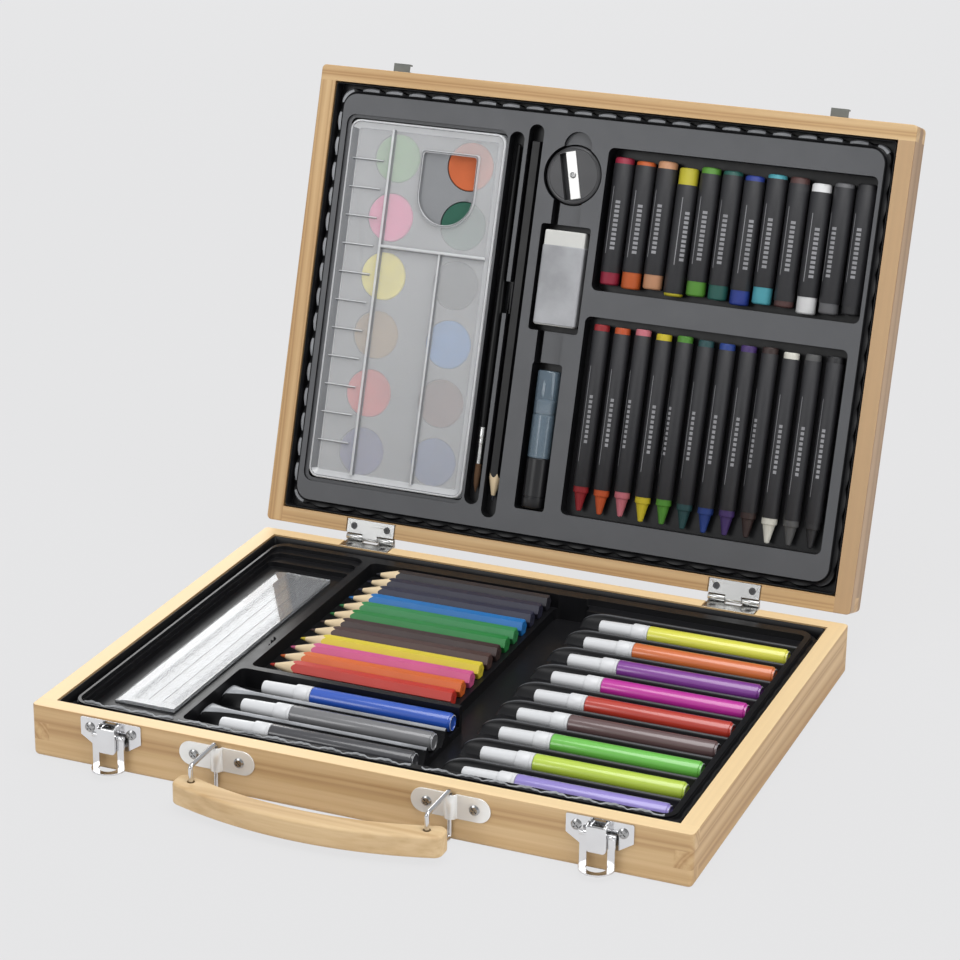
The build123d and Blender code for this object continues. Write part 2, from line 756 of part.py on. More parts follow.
for side, word in ((-1, "left"), (1, "right")):
    x0 = side * latch_x
    with BuildPart() as latch_plate:
        with BuildSketch(FRONT):
            Polygon(
                (x0 - latch_half_top, latch_top),
                (x0 - latch_half_top, latch_shoulder),
                (x0 - latch_half_bottom, latch_bottom),
                (x0 + latch_half_bottom, latch_bottom),
                (x0 + latch_half_top, latch_shoulder),
                (x0 + latch_half_top, latch_top),
                align=None,
            )
        extrude(amount=sheet)
        fillet(latch_plate.edges().filter_by(Axis.Y), sheet)
        for step in (-1, 1):
            with BuildSketch(across(x0 + step * (ear_inset + sheet / 2))):
                with Locations((pivot_out, pivot_z)):
                    Circle(ear_radius)
                with Locations((pivot_out / 2, pivot_z)):
                    Rectangle(pivot_out, 2 * ear_radius)
            extrude(amount=sheet / 2, both=True)
        with BuildSketch(FRONT):
            with Locations((x0, pivot_z + lever_radius)):
                Rectangle(2 * ear_inset, slot_height)
            for step in (-1, 1):
                with Locations((x0 + step * latch_screw_x, latch_screw_z)):
                    Circle(front_screw[2] + screw_fit)
        extrude(amount=sheet, mode=Mode.SUBTRACT)
        with Locations((x0, front_face - pivot_out, pivot_z)):
            x_cylinder(pivot_radius + pivot_fit, 2 * lever_half, Mode.SUBTRACT)
    save(latch_plate, "latch_" + word + "_plate")

    with BuildPart() as lever:
        with BuildSketch(across(x0)):
            with Locations((pivot_out, pivot_z)):
                Circle(lever_radius)
                Rectangle(lever_radius, lever_over, align=(Align.MIN, Align.MIN))
            with Locations((pivot_out - lever_back, pivot_z)):
                Rectangle(lever_back + lever_radius, lever_length, align=(Align.MIN, Align.MAX))
        extrude(amount=lever_half, both=True)
        toe = lever.edges().filter_by(Axis.Y).group_by(Axis.Z)[0]
        fillet(toe, lever_toe)
        inner = lever_radius - lever_sheet
        with BuildSketch(across(x0)):
            with Locations((pivot_out + inner, pivot_z + lever_over)):
                Rectangle(3 * lever_radius, lever_length + 3, align=(Align.MAX, Align.MAX))
            with Locations((pivot_out, pivot_z + lever_over)):
                Rectangle(3 * lever_radius, lever_radius, align=(Align.CENTER, Align.MIN))
        extrude(amount=lever_half - lever_sheet, both=True, mode=Mode.SUBTRACT)
        with Locations((x0, front_face - pivot_out, pivot_z)):
            x_cylinder(pivot_radius + pivot_fit, 3 * lever_half, Mode.SUBTRACT)
        with Locations((x0, front_face - pivot_out, stud_z)):
            x_cylinder(pivot_radius, 2 * (lip_radius + pivot_fit))
    save(lever, "latch_" + word + "_lever")

    with BuildPart() as pivot:
        with Locations((x0, front_face - pivot_out, pivot_z)):
            x_cylinder(pivot_radius, 2 * lever_half)
    save(pivot, "latch_" + word + "_pivot")

    with BuildPart() as bail:
        bail_y = front_face - pivot_out
        with BuildSketch(Plane.XY.offset(bail_floor_gap)):
            with Locations((x0, bail_y)):
                Circle(lip_radius)
                with Locations((0, bail_sheet / 2)):
                    Rectangle(
                        2 * lip_radius,
                        lip_radius,
                        align=(Align.CENTER, Align.MIN),
                        mode=Mode.SUBTRACT,
                    )
                with Locations((0, -lip_shift)):
                    Circle(bail_inner, mode=Mode.SUBTRACT)
                    Rectangle(
                        2 * bail_inner,
                        2 * lip_shift + bail_sheet,
                        align=(Align.CENTER, Align.MIN),
                        mode=Mode.SUBTRACT,
                    )
        extrude(amount=bail_sheet)
        for step in (-1, 1):
            strap_x = x0 + step * (bail_inner + bail_strap / 2)
            strap_length = stud_z - bail_floor_gap
            with Locations((strap_x, bail_y, bail_floor_gap + strap_length / 2)):
                Box(bail_strap, bail_sheet, strap_length)
            with Locations((strap_x, bail_y, stud_z)):
                x_cylinder(bail_barrel, bail_strap)
                x_cylinder(pivot_radius + pivot_fit, bail_strap, Mode.SUBTRACT)
    save(bail, "latch_" + word + "_bail")

    with BuildPart() as strike:
        with BuildSketch(lid_across(x0)):
            with Locations((0, strike_from_rim)):
                Rectangle(sheet, strike_flange, align=(Align.MIN, Align.MIN))
                Rectangle(strike_reach, sheet, align=(Align.MIN, Align.MIN))
            with Locations((strike_reach, strike_from_rim)):
                Rectangle(sheet, strike_hook, align=(Align.MAX, Align.MIN))
        extrude(amount=strike_half, both=True)
        with Locations(LID_FRONT.location * Location((x0, strike_from_rim + strike_screw_in, sheet))):
            screw_hole(small_screw)
    save(strike, "latch_" + word + "_strike")


# The carrying handle swings sideways and out on two wire links
handle_x = handle_centre - link_reach * sin(radians(link_swing))
handle_y = front_face - wire_out - link_reach * cos(radians(link_swing))
handle_top = handle_bottom + handle_thick
handle_half = bracket_half + handle_past_hook

for x0, word in zip(bracket_xs, ("left", "right")):
    with BuildPart() as bracket:
        with BuildSketch(FRONT):
            with Locations((x0, plate_centre_z)):
                SlotOverall(plate_length, plate_height)
        extrude(amount=sheet)
        with BuildSketch(Plane.XY.offset(plate_centre_z)):
            with Locations((x0, front_face)):
                Circle(channel_outer)
                Rectangle(
                    3 * channel_outer,
                    2 * channel_outer,
                    align=(Align.CENTER, Align.MIN),
                    mode=Mode.SUBTRACT,
                )
        extrude(amount=plate_height / 2, both=True)
        with BuildSketch(Plane.XY.offset(plate_centre_z)):
            with Locations((x0, front_face)):
                Circle(channel_inner)
        extrude(amount=plate_height, both=True, mode=Mode.SUBTRACT)
        with BuildSketch(FRONT):
            for step in (-1, 1):
                with Locations((x0 + step * plate_screw_x, plate_centre_z)):
                    Circle(front_screw[2] + screw_fit)
        extrude(amount=sheet, mode=Mode.SUBTRACT)
    save(bracket, "handle_" + word + "_plate")

    out_x = -sin(radians(link_swing))
    out_y = -cos(radians(link_swing))
    LINK = Plane(
        origin=(x0, front_face - wire_out, 0), x_dir=(out_x, out_y, 0), z_dir=(out_y, -out_x, 0)
    )
    with BuildPart() as link:
        with BuildLine(LINK) as wire:
            FilletPolyline(
                (link_reach, handle_top - hook_in_handle),
                (link_reach, hook_top),
                (0, wire_top),
                (0, wire_bottom),
                (link_reach, wire_bottom),
                (link_reach, handle_bottom + hook_in_handle),
                radius=wire_bend,
            )
        with BuildSketch(Plane(origin=wire.line @ 0, z_dir=wire.line % 0)):
            Circle(wire_radius)
        sweep(path=wire.line)
    save(link, "handle_link_" + word)

with BuildPart() as handle:
    with BuildSketch(Plane.XY.offset(handle_bottom)):
        with BuildLine():
            left = handle_x - handle_half
            right = handle_x + handle_half
            front_arc = ThreePointArc(
                (left, handle_y - handle_front_end),
                (handle_x, handle_y - handle_front_bow),
                (right, handle_y - handle_front_end),
            )
            back_arc = ThreePointArc(
                (right, handle_y + handle_back_end),
                (handle_x, handle_y - handle_back_bow),
                (left, handle_y + handle_back_end),
            )
            Line(front_arc @ 1, back_arc @ 0)
            Line(back_arc @ 1, front_arc @ 0)
        make_face()
    extrude(amount=handle_thick)
    fillet(handle.edges().filter_by(Axis.Z), handle_end_round)
    fillet(handle.faces().filter_by(Plane.XY).edges(), handle_edge_round)
    for level, way in ((handle_top, Align.MAX), (handle_bottom, Align.MIN)):
        with Locations((handle_x, handle_y, level)):
            with GridLocations(2 * bracket_half, 1, 2, 1):
                Cylinder(
                    handle_hole_radius,
                    hook_in_handle + hook_hole_extra,
                    align=(Align.CENTER, Align.CENTER, way),
                    mode=Mode.SUBTRACT,
                )
save(handle, "handle")


# The formed plastic trays: a deck with a skirt down to the panel, and thin-walled pockets
def pocket_sizes(place):
    """A pocket's centre and size."""
    x0, x1, y0, y1 = place
    return ((x0 + x1) / 2, (y0 + y1) / 2), x1 - x0, y1 - y0


base_pockets = [
    (ruler_well, ruler_floor, pocket_round),
    (ruler_notch, ruler_floor, pocket_round),
    (pencil_well, pencil_floor, pocket_round),
    (deep_channel, channel_floor, pocket_round),
    (channel_end, channel_floor, pocket_round),
    (left_basin, marker_floor, pocket_round),
    (right_basin, marker_floor, pocket_round),
]
lid_pockets = [
    (paint_well, paint_floor, pocket_round),
    (brush_slot, slot_floor, slot_round),
    (graphite_slot, slot_floor, slot_round),
    (slot_notch, slot_floor, small_round),
    (eraser_well, eraser_floor, small_round),
    (eraser_neck, neck_floor, small_round),
    (glue_well, glue_floor, small_round),
    (glue_neck, neck_floor, small_round),
    (pastel_well, pastel_floor, pocket_round),
    (crayon_well, crayon_floor, pocket_round),
]


def tray_shell(height, deck):
    """The deck and skirt, filling one half down to its panel."""
    depth = height - panel_thick - deck
    with Locations((0, 0, -deck)):
        Box(2 * tray_half_x, 2 * tray_half_y, depth, align=(Align.CENTER, Align.CENTER, Align.MAX))
        with Locations((0, 0, -tray_sheet)):
            Box(
                2 * (tray_half_x - tray_sheet),
                2 * (tray_half_y - tray_sheet),
                depth,
                align=(Align.CENTER, Align.CENTER, Align.MAX),
                mode=Mode.SUBTRACT,
            )


def pocket_walls(rim, deck, pockets):
    """The blocks that the pockets are hollowed out of, below the deck."""
    for place, floor, radius in pockets:
        centre, width, length = pocket_sizes(place)
        with BuildSketch(rim.offset(-deck)) as outline:
            with Locations(centre):
                RectangleRounded(width + 2 * tray_sheet, length + 2 * tray_sheet, radius + tray_sheet)
        extrude(outline.sketch, amount=deck - floor - tray_sheet)


def pocket_hollows(rim, pockets):
    """The hollows of the pockets, from the rim down to their floors."""
    for place, floor, radius in pockets:
        centre, width, length = pocket_sizes(place)
        with BuildSketch(rim) as outline:
            with Locations(centre):
                RectangleRounded(width, length, radius)
        extrude(outline.sketch, amount=-floor, mode=Mode.SUBTRACT)


left_ridges = [left_marker_y + (i + 0.5) * left_marker_pitch for i in range(left_marker_count - 1)]
right_ridges = [right_marker_y + (i + 0.5) * right_marker_pitch for i in range(right_marker_count)]
ridge_foot = min(left_marker_pitch, right_marker_pitch) / 2 - marker_radius - ridge_gap

with BuildPart(BASE) as base_tray:
    tray_shell(base_height, base_deck)
    pocket_walls(BASE, base_deck, base_pockets)
    pocket_hollows(BASE, base_pockets)
    for basin, ridges in ((left_basin, left_ridges), (right_basin, right_ridges)):
        from_x = basin[0] - tray_sheet / 2
        to_x = basin[1] + tray_sheet / 2 if basin is right_basin else channel_end[0]
        with BuildSketch(Plane(origin=(from_x, 0, base_height), x_dir=(0, 1, 0), z_dir=(1, 0, 0))):
            for y in ridges:
                Polygon(
                    (y - ridge_foot, -marker_floor - tray_sheet / 2),
                    (y + ridge_foot, -marker_floor - tray_sheet / 2),
                    (y + ridge_foot, -marker_floor),
                    (y + ridge_crest_half, -ridge_crest),
                    (y - ridge_crest_half, -ridge_crest),
                    (y - ridge_foot, -marker_floor),
                    align=None,
                )
        extrude(amount=to_x - from_x)
save(base_tray, "base_tray")

with BuildPart(LID) as lid_tray:
    tray_shell(lid_height, lid_deck)
    round_pockets = [
        (sharpener_centre, sharpener_hole, sharpener_floor),
        (sharpener_notch, sharpener_notch_radius, neck_floor),
    ]
    pocket_walls(LID, lid_deck, lid_pockets)
    for centre, radius, floor in round_pockets:
        with BuildSketch(LID.offset(-lid_deck)):
            with Locations(centre):
                Circle(radius + tray_sheet)
        extrude(amount=lid_deck - floor - tray_sheet)
    pocket_hollows(LID, lid_pockets)
    for centre, radius, floor in round_pockets:
        with BuildSketch(LID):
            with Locations(centre):
                Circle(radius)
        extrude(amount=-floor, mode=Mode.SUBTRACT)
save(lid_tray, "lid_tray")


# What lies in the base: each kind is one solid made once, then set out in its row
with BuildPart(BASE) as ruler:
    with Locations((ruler_centre[0], ruler_centre[1], ruler_thick / 2 - ruler_floor + flat_gap)):
        Box(ruler_width, ruler_length, ruler_thick)
    bevel_edge = ruler.edges().filter_by(Axis.Y).group_by(Axis.Z)[-1].sort_by(Axis.X)[0]
    chamfer(bevel_edge, ruler_thick / 2, 4 * ruler_thick)
save(ruler, "ruler")


def sharpened(length, flats):
    """A hexagonal pencil along +X with its tip at the origin."""
    corner = flats / 2 / cos(radians(30))
    with BuildPart() as pencil:
        with BuildSketch(Plane.YZ):
            RegularPolygon(corner, 6)
        extrude(amount=length)
        with BuildSketch(Plane.XZ):
            Polygon(
                (0, 0),
                (0, lead_radius),
                (pencil_cone, corner),
                (length, corner),
                (length, 0),
                align=None,
            )
        revolve(axis=Axis.X, mode=Mode.INTERSECT)
    return pencil.part


def row(name, rim, piece, places):
    """One node of like pieces, each a separate solid, set out at the places."""
    with BuildPart(rim) as group:
        for place in places:
            with Locations(place):
                add(piece, clean=False)
    save(group, name)


pencil_z = pencil_flats / 2 + flat_gap - pencil_floor
pencil_places = [
    (pencil_tip_x, pencil_first_y + i * pencil_pitch, pencil_z) for i in range(pencil_count)
]
row("coloured_pencils", BASE, sharpened(pencil_length, pencil_flats), pencil_places)

cap_length = marker_cap_narrow + marker_cap_collar
with BuildPart() as marker_barrel:
    with BuildSketch(Plane.XZ):
        Polygon(
            (cap_length + joint_gap, 0),
            (cap_length + joint_gap, marker_radius),
            (marker_length, marker_radius),
            (marker_length, 0),
            align=None,
        )
        neck_start = cap_length - marker_neck_length
        Polygon(
            (neck_start, 0),
            (neck_start, marker_neck_radius),
            (cap_length + 1, marker_neck_radius),
            (cap_length + 1, 0),
            align=None,
        )
        nib_start = cap_length - marker_nib_length
        Polygon(
            (nib_start, 0),
            (nib_start + 1, marker_nib_radius),
            (neck_start + 1, marker_nib_radius),
            (neck_start + 1, 0),
            align=None,
        )
    revolve(axis=Axis.X)
    fillet(marker_barrel.edges().filter_by(GeomType.CIRCLE).sort_by(Axis.X)[-1], marker_radius / 3)
with BuildPart() as marker_cap:
    with BuildSketch(Plane.XZ):
        Polygon(
            (0, 0),
            (0, marker_narrow_radius - marker_cap_taper),
            (marker_cap_narrow - 1, marker_narrow_radius),
            (marker_cap_narrow, marker_radius),
            (cap_length, marker_radius),
            (cap_length, 0),
            align=None,
        )
        bore_start = cap_length - marker_nib_length - marker_bore_spare
        Polygon(
            (bore_start, 0),
            (bore_start, marker_bore_radius),
            (cap_length + 1, marker_bore_radius),
            (cap_length + 1, 0),
            align=None,
            mode=Mode.SUBTRACT,
        )
    revolve(axis=Axis.X)
    fillet(marker_cap.edges().filter_by(GeomType.CIRCLE).sort_by(Axis.X)[0], marker_narrow_radius / 4)
marker_places = [
    (left_marker_x, left_marker_y + i * left_marker_pitch, -marker_centre)
    for i in range(left_marker_count)
]
marker_places += [
    (right_marker_x, right_marker_y + i * right_marker_pitch, -marker_centre)
    for i in range(right_marker_count)
]
row("marker_barrels", BASE, marker_barrel.part, marker_places)
row("marker_caps", BASE, marker_cap.part, marker_places)


# What lies in the lid, set out in the lid's own plane
tray_low = flat_gap - paint_floor
tray_high = tray_low + paint_box_deep
tablet_places = [
    (tablet_first_x + column * tablet_across, tablet_first_y + i * tablet_pitch)
    for column in (0, 1)
    for i in range(tablet_rows)
]
with BuildPart(LID) as paint_tray:
    with BuildSketch(LID.offset(tray_low)):
        with Locations(paint_box_centre):
            RectangleRounded(paint_box_width, paint_box_length, pocket_round)
    extrude(amount=paint_box_deep)
    with BuildSketch(LID.offset(tray_high)):
        with Locations(*tablet_places):
            Circle(tablet_hole)
    extrude(amount=-tablet_thick - flat_gap, mode=Mode.SUBTRACT)
save(paint_tray, "paint_tray")

with BuildPart(LID) as paint_tablets:
    with BuildSketch(LID.offset(tray_high - tablet_thick - flat_gap)):
        with Locations(*tablet_places):
            Circle(tablet_radius)
    extrude(amount=tablet_thick)
save(paint_tablets, "paint_tablets")

palette_low = tray_high + flat_gap
palette_high = palette_low + palette_thick
with BuildPart(LID) as paint_palette:
    with BuildSketch(LID.offset(palette_low)):
        with Locations(paint_box_centre):
            RectangleRounded(paint_box_width, paint_box_length, pocket_round)
    extrude(amount=palette_thick + palette_rim)
    with BuildSketch(LID.offset(palette_high)):
        with Locations(paint_box_centre):
            RectangleRounded(
                paint_box_width - 2 * palette_rib,
                paint_box_length - 2 * palette_rib,
                pocket_round - palette_rib,
            )
    extrude(amount=palette_rim, mode=Mode.SUBTRACT)
    half_rib = palette_rib / 2
    low = palette_high - palette_thick / 2
    high = palette_high + palette_rim
    long_rib_x = paint_left + palette_rib_x
    short_rib_x = paint_left + palette_short_rib_x
    cross_rib_y = paint_near + palette_rib_y
    near = paint_near + half_rib
    far = paint_far - half_rib
    right = paint_right - half_rib
    centre_box(long_rib_x - half_rib, long_rib_x + half_rib, near, far, low, high)
    centre_box(long_rib_x, right, cross_rib_y - half_rib, cross_rib_y + half_rib, low, high)
    centre_box(short_rib_x - half_rib, short_rib_x + half_rib, near, cross_rib_y, low, high)
    with BuildSketch(LID.offset(palette_low)):
        hole_x = paint_left + thumb_hole_x
        hole_top = paint_far - thumb_hole_drop
        hole_round = thumb_hole_width / 2
        with Locations((hole_x, hole_top)):
            Rectangle(
                thumb_hole_width, thumb_hole_length - hole_round, align=(Align.CENTER, Align.MAX)
            )
        with Locations((hole_x, hole_top - thumb_hole_length + hole_round)):
            Circle(hole_round)
    extrude(amount=palette_thick, mode=Mode.SUBTRACT)
save(paint_palette, "paint_palette")

brush_z = brush_radius + item_gap - slot_floor
ferrule_low = brush_low + tuft_length
handle_low = ferrule_low + ferrule_length
brush_far = brush_low + brush_length


def lid_along(x, y, z):
    """The plane along the lid's y from a point in it: local x points away from the hinges."""
    place = Plane(origin=(x, y, z), x_dir=(0, 1, 0), z_dir=(-1, 0, 0)).location
    return Plane(LID.location * place)


BRUSH = lid_along(brush_x, 0, brush_z)
with BuildPart() as brush_handle:
    with BuildSketch(BRUSH):
        Polygon(
            (handle_low, 0),
            (handle_low, brush_radius * 0.75),
            (handle_low + 0.2 * (brush_far - handle_low), brush_radius),
            (brush_far - 2, brush_radius * 0.45),
            (brush_far, 0),
            align=None,
        )
    revolve(axis=Axis(BRUSH.origin, BRUSH.x_dir))
save(brush_handle, "brush_handle")
with BuildPart() as brush_ferrule:
    with BuildSketch(BRUSH):
        Polygon(
            (ferrule_low, 0),
            (ferrule_low, brush_radius * 0.65),
            (handle_low, brush_radius * 0.8),
            (handle_low, 0),
            align=None,
        )
    revolve(axis=Axis(BRUSH.origin, BRUSH.x_dir))
save(brush_ferrule, "brush_ferrule")
with BuildPart() as brush_tuft:
    with BuildSketch(BRUSH):
        Polygon(
            (brush_low, 0),
            (brush_low + tuft_length / 2, brush_radius * 0.65),
            (ferrule_low, brush_radius * 0.6),
            (ferrule_low, 0),
            align=None,
        )
    revolve(axis=Axis(BRUSH.origin, BRUSH.x_dir))
save(brush_tuft, "brush_tuft")

graphite_z = graphite_flats / 2 + flat_gap - slot_floor
GRAPHITE = Location((graphite_x, graphite_low, graphite_z), (0, 0, 90))
with BuildPart(LID) as graphite_pencil:
    with Locations(GRAPHITE):
        add(sharpened(graphite_length, graphite_flats))
save(graphite_pencil, "graphite_pencil")

sharpener_low = flat_gap - sharpener_floor
sharpener_high = sharpener_low + sharpener_thick
blade_place = Location((*sharpener_centre, sharpener_high), (0, 0, blade_turn))
with BuildPart(LID) as sharpener_body:
    with Locations((sharpener_centre[0], sharpener_centre[1], sharpener_low)):
        Cylinder(sharpener_radius, sharpener_thick, align=(Align.CENTER, Align.CENTER, Align.MIN))
    with Locations(blade_place * Location((-(blade_width + sharpener_groove) / 2, 0, 0))):
        Box(sharpener_groove, blade_length, 2 * sharpener_groove_depth, mode=Mode.SUBTRACT)
    with Locations(blade_place):
        screw_hole(blade_screw)
save(sharpener_body, "sharpener_body")
with BuildPart(LID) as sharpener_blade:
    with Locations(blade_place):
        Box(blade_width, blade_length, blade_thick, align=(Align.CENTER, Align.CENTER, Align.MIN))
        screw_hole(blade_screw)
save(sharpener_blade, "sharpener_blade")
with BuildPart(LID) as sharpener_screw:
    with Locations(blade_place * Location((0, 0, blade_thick))):
        wood_screw(blade_screw)
save(sharpener_screw, "sharpener_screw")

eraser_low = flat_gap - eraser_floor
eraser_middle = (column_x, eraser_near + eraser_length / 2, eraser_low + eraser_thick / 2)
sleeve_y = eraser_near + eraser_end + sleeve_length / 2
sleeve_inside = eraser_width - 2 * sleeve_thick
with BuildPart(LID) as eraser:
    with Locations(eraser_middle):
        Box(
            sleeve_inside - 2 * wrap_gap,
            eraser_length,
            eraser_thick - 2 * sleeve_thick - 2 * wrap_gap,
        )
    fillet(eraser.edges(), eraser_round)
save(eraser, "eraser")
with BuildPart(LID) as eraser_sleeve:
    with Locations((column_x, sleeve_y, eraser_middle[2])):
        Box(eraser_width, sleeve_length, eraser_thick)
        Box(sleeve_inside, sleeve_length + 1, eraser_thick - 2 * sleeve_thick, mode=Mode.SUBTRACT)
save(eraser_sleeve, "eraser_sleeve")

glue_z = glue_radius + item_gap - glue_floor
GLUE = lid_along(column_x, glue_near, glue_z)
glue_body_length = glue_length - glue_cap_length
glue_neck_radius = glue_radius - glue_wall - joint_gap
with BuildPart() as glue_body:
    with BuildSketch(GLUE):
        Polygon(
            (0, 0),
            (0, glue_radius),
            (glue_body_length, glue_radius),
            (glue_body_length, glue_neck_radius),
            (glue_body_length + glue_cap_length / 2, glue_neck_radius),
            (glue_body_length + glue_cap_length / 2, 0),
            align=None,
        )
    revolve(axis=Axis(GLUE.origin, GLUE.x_dir))
save(glue_body, "glue_stick_body")
with BuildPart() as glue_cap:
    with BuildSketch(GLUE):
        Polygon(
            (glue_body_length + joint_gap, glue_radius - glue_wall),
            (glue_body_length + joint_gap, glue_radius),
            (glue_length, glue_radius),
            (glue_length, 0),
            (glue_length - glue_wall, 0),
            (glue_length - glue_wall, glue_radius - glue_wall),
            align=None,
        )
    revolve(axis=Axis(GLUE.origin, GLUE.x_dir))
save(glue_cap, "glue_stick_cap")


def paper_tube(radius, length):
    """A paper wrapper for a stick of this radius, standing on its lower end."""
    with BuildPart() as tube:
        with BuildSketch() as ring:
            Circle(radius + wrap_gap + wrap_thick)
            Circle(radius + wrap_gap, mode=Mode.SUBTRACT)
        extrude(ring.sketch, amount=length)
    return tube.part


def turned_row(name, profile, places):
    """A row of like turned pieces that lie along the lid's y."""
    with BuildPart() as piece:
        with BuildSketch(Plane.YZ):
            Polygon(*profile, align=None)
        revolve(axis=Axis.Y)
    row(name, LID, piece.part, places)


pastel_places = [(pastel_x + i * pastel_pitch, pastel_y, -pastel_centre) for i in range(stick_count)]
turned_row(
    "pastel_sticks",
    [
        (0, 0),
        (0, pastel_radius - pastel_bevel),
        (pastel_bevel, pastel_radius),
        (pastel_length - pastel_bevel, pastel_radius),
        (pastel_length, pastel_radius - pastel_bevel),
        (pastel_length, 0),
    ],
    pastel_places,
)
with BuildPart(LID) as pastel_wrappers:
    for place, bare_low, bare_high in zip(pastel_places, pastel_bare_low, pastel_bare_high):
        wrap_length = pastel_length - bare_low - bare_high
        with Locations(Location(place) * Location((0, bare_low, 0), (-90, 0, 0))):
            add(paper_tube(pastel_radius, wrap_length), clean=False)
save(pastel_wrappers, "pastel_wrappers")

crayon_places = [(crayon_x + i * crayon_pitch, crayon_y, -crayon_centre) for i in range(stick_count)]
turned_row(
    "crayon_sticks",
    [
        (0, 0),
        (0, crayon_tip_radius),
        (crayon_cone, crayon_radius),
        (crayon_length, crayon_radius),
        (crayon_length, 0),
    ],
    crayon_places,
)
turned_row(
    "crayon_wrappers",
    [
        (crayon_cone + crayon_bare, crayon_radius + wrap_gap),
        (crayon_cone + crayon_bare, crayon_radius + wrap_gap + wrap_thick),
        (crayon_length - crayon_bare, crayon_radius + wrap_gap + wrap_thick),
        (crayon_length - crayon_bare, crayon_radius + wrap_gap),
    ],
    crayon_places,
)
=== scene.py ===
from math import atan2, copysign, cos, pi, radians, sin, sqrt

import bmesh
import bpy
from mathutils import Matrix, Vector


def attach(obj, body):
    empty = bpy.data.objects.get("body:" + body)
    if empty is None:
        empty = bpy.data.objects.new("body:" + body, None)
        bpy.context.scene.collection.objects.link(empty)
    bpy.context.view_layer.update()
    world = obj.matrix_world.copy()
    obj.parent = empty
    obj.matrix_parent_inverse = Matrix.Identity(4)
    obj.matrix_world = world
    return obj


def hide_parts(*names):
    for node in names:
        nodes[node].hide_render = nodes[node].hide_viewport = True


# The looks of an open wooden art set box. Shapes are given in millimetres, in the plane of the
# half that they lie in: x to the right, y away from the viewer in the base and up the lid, and z
# out of the tray from the wood's rim.
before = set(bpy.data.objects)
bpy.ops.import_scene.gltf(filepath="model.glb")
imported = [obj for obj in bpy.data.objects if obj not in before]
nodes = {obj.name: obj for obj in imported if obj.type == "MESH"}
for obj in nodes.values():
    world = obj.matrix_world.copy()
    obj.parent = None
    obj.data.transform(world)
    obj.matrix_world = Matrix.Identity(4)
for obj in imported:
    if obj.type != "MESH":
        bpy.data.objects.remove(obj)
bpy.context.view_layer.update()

MM = 0.001
BASE_HEIGHT = 24.2
LID_GAP = 0.1
HINGE_Y = 115.33
HINGE_Z = 26.04
OPEN = radians(107.7)
BASE = Matrix.Translation((0, 0, BASE_HEIGHT))
LID = (
    Matrix.Translation((0, HINGE_Y, HINGE_Z))
    @ Matrix.Rotation(-OPEN, 4, "X")
    @ Matrix.Translation((0, -HINGE_Y, BASE_HEIGHT + LID_GAP - HINGE_Z))
    @ Matrix.Rotation(pi, 4, "X")
)


def linear(*rgb):
    """A colour given as 0 to 255 values, for a shader socket."""
    out = []
    for v in rgb:
        c = v / 255
        out.append(c / 12.92 if c <= 0.04045 else ((c + 0.055) / 1.055) ** 2.4)
    return (*out, 1.0)


def scaled(colour, factor):
    """The colour made lighter or darker."""
    return (*[min(1.0, c * factor) for c in colour[:3]], 1.0)


# Materials
class Paint:
    """A material being built: its nodes, links and shader."""

    def __init__(self, name, **sockets):
        self.material = bpy.data.materials.new(name)
        self.material.use_nodes = True
        self.tree = self.material.node_tree
        self.shader = self.tree.nodes["Principled BSDF"]
        for socket, value in sockets.items():
            self.shader.inputs[socket.replace("_", " ")].default_value = value
        self.coords = self.node("ShaderNodeTexCoord").outputs["Object"]

    def node(self, kind, **settings):
        made = self.tree.nodes.new(kind)
        for key, value in settings.items():
            setattr(made, key, value)
        return made

    def link(self, source, target):
        self.tree.links.new(source, target)

    def mapping(self, source, rotation=(0, 0, 0), scale=(1, 1, 1), location=(0, 0, 0)):
        made = self.node("ShaderNodeMapping")
        made.inputs["Rotation"].default_value = rotation
        made.inputs["Scale"].default_value = scale
        made.inputs["Location"].default_value = location
        self.link(source, made.inputs["Vector"])
        return made.outputs["Vector"]

    def noise(self, source, scale, detail=3.0, rough=0.5):
        made = self.node("ShaderNodeTexNoise")
        made.inputs["Scale"].default_value = scale
        made.inputs["Detail"].default_value = detail
        made.inputs["Roughness"].default_value = rough
        self.link(source, made.inputs["Vector"])
        return made.outputs["Fac"]

    def ramp(self, source, stops):
        made = self.node("ShaderNodeValToRGB")
        elements = made.color_ramp.elements
        while len(elements) < len(stops):
            elements.new(0.5)
        for element, (place, colour) in zip(elements, stops):
            element.position = place
            element.color = colour
        self.link(source, made.inputs["Fac"])
        return made.outputs["Color"]

    def multiply(self, first, second, share):
        made = self.node("ShaderNodeMix", data_type="RGBA", blend_type="MULTIPLY")
        made.inputs["Factor"].default_value = share
        self.link(first, made.inputs["A"])
        self.link(second, made.inputs["B"])
        return made.outputs["Result"]

    def spread(self, source, low, high):
        made = self.node("ShaderNodeMapRange")
        made.inputs["To Min"].default_value = low
        made.inputs["To Max"].default_value = high
        self.link(source, made.inputs["Value"])
        return made.outputs["Result"]

    def bump(self, source, strength, distance):
        made = self.node("ShaderNodeBump")
        made.inputs["Strength"].default_value = strength
        made.inputs["Distance"].default_value = distance
        self.link(source, made.inputs["Height"])
        self.link(made.outputs["Normal"], self.shader.inputs["Normal"])


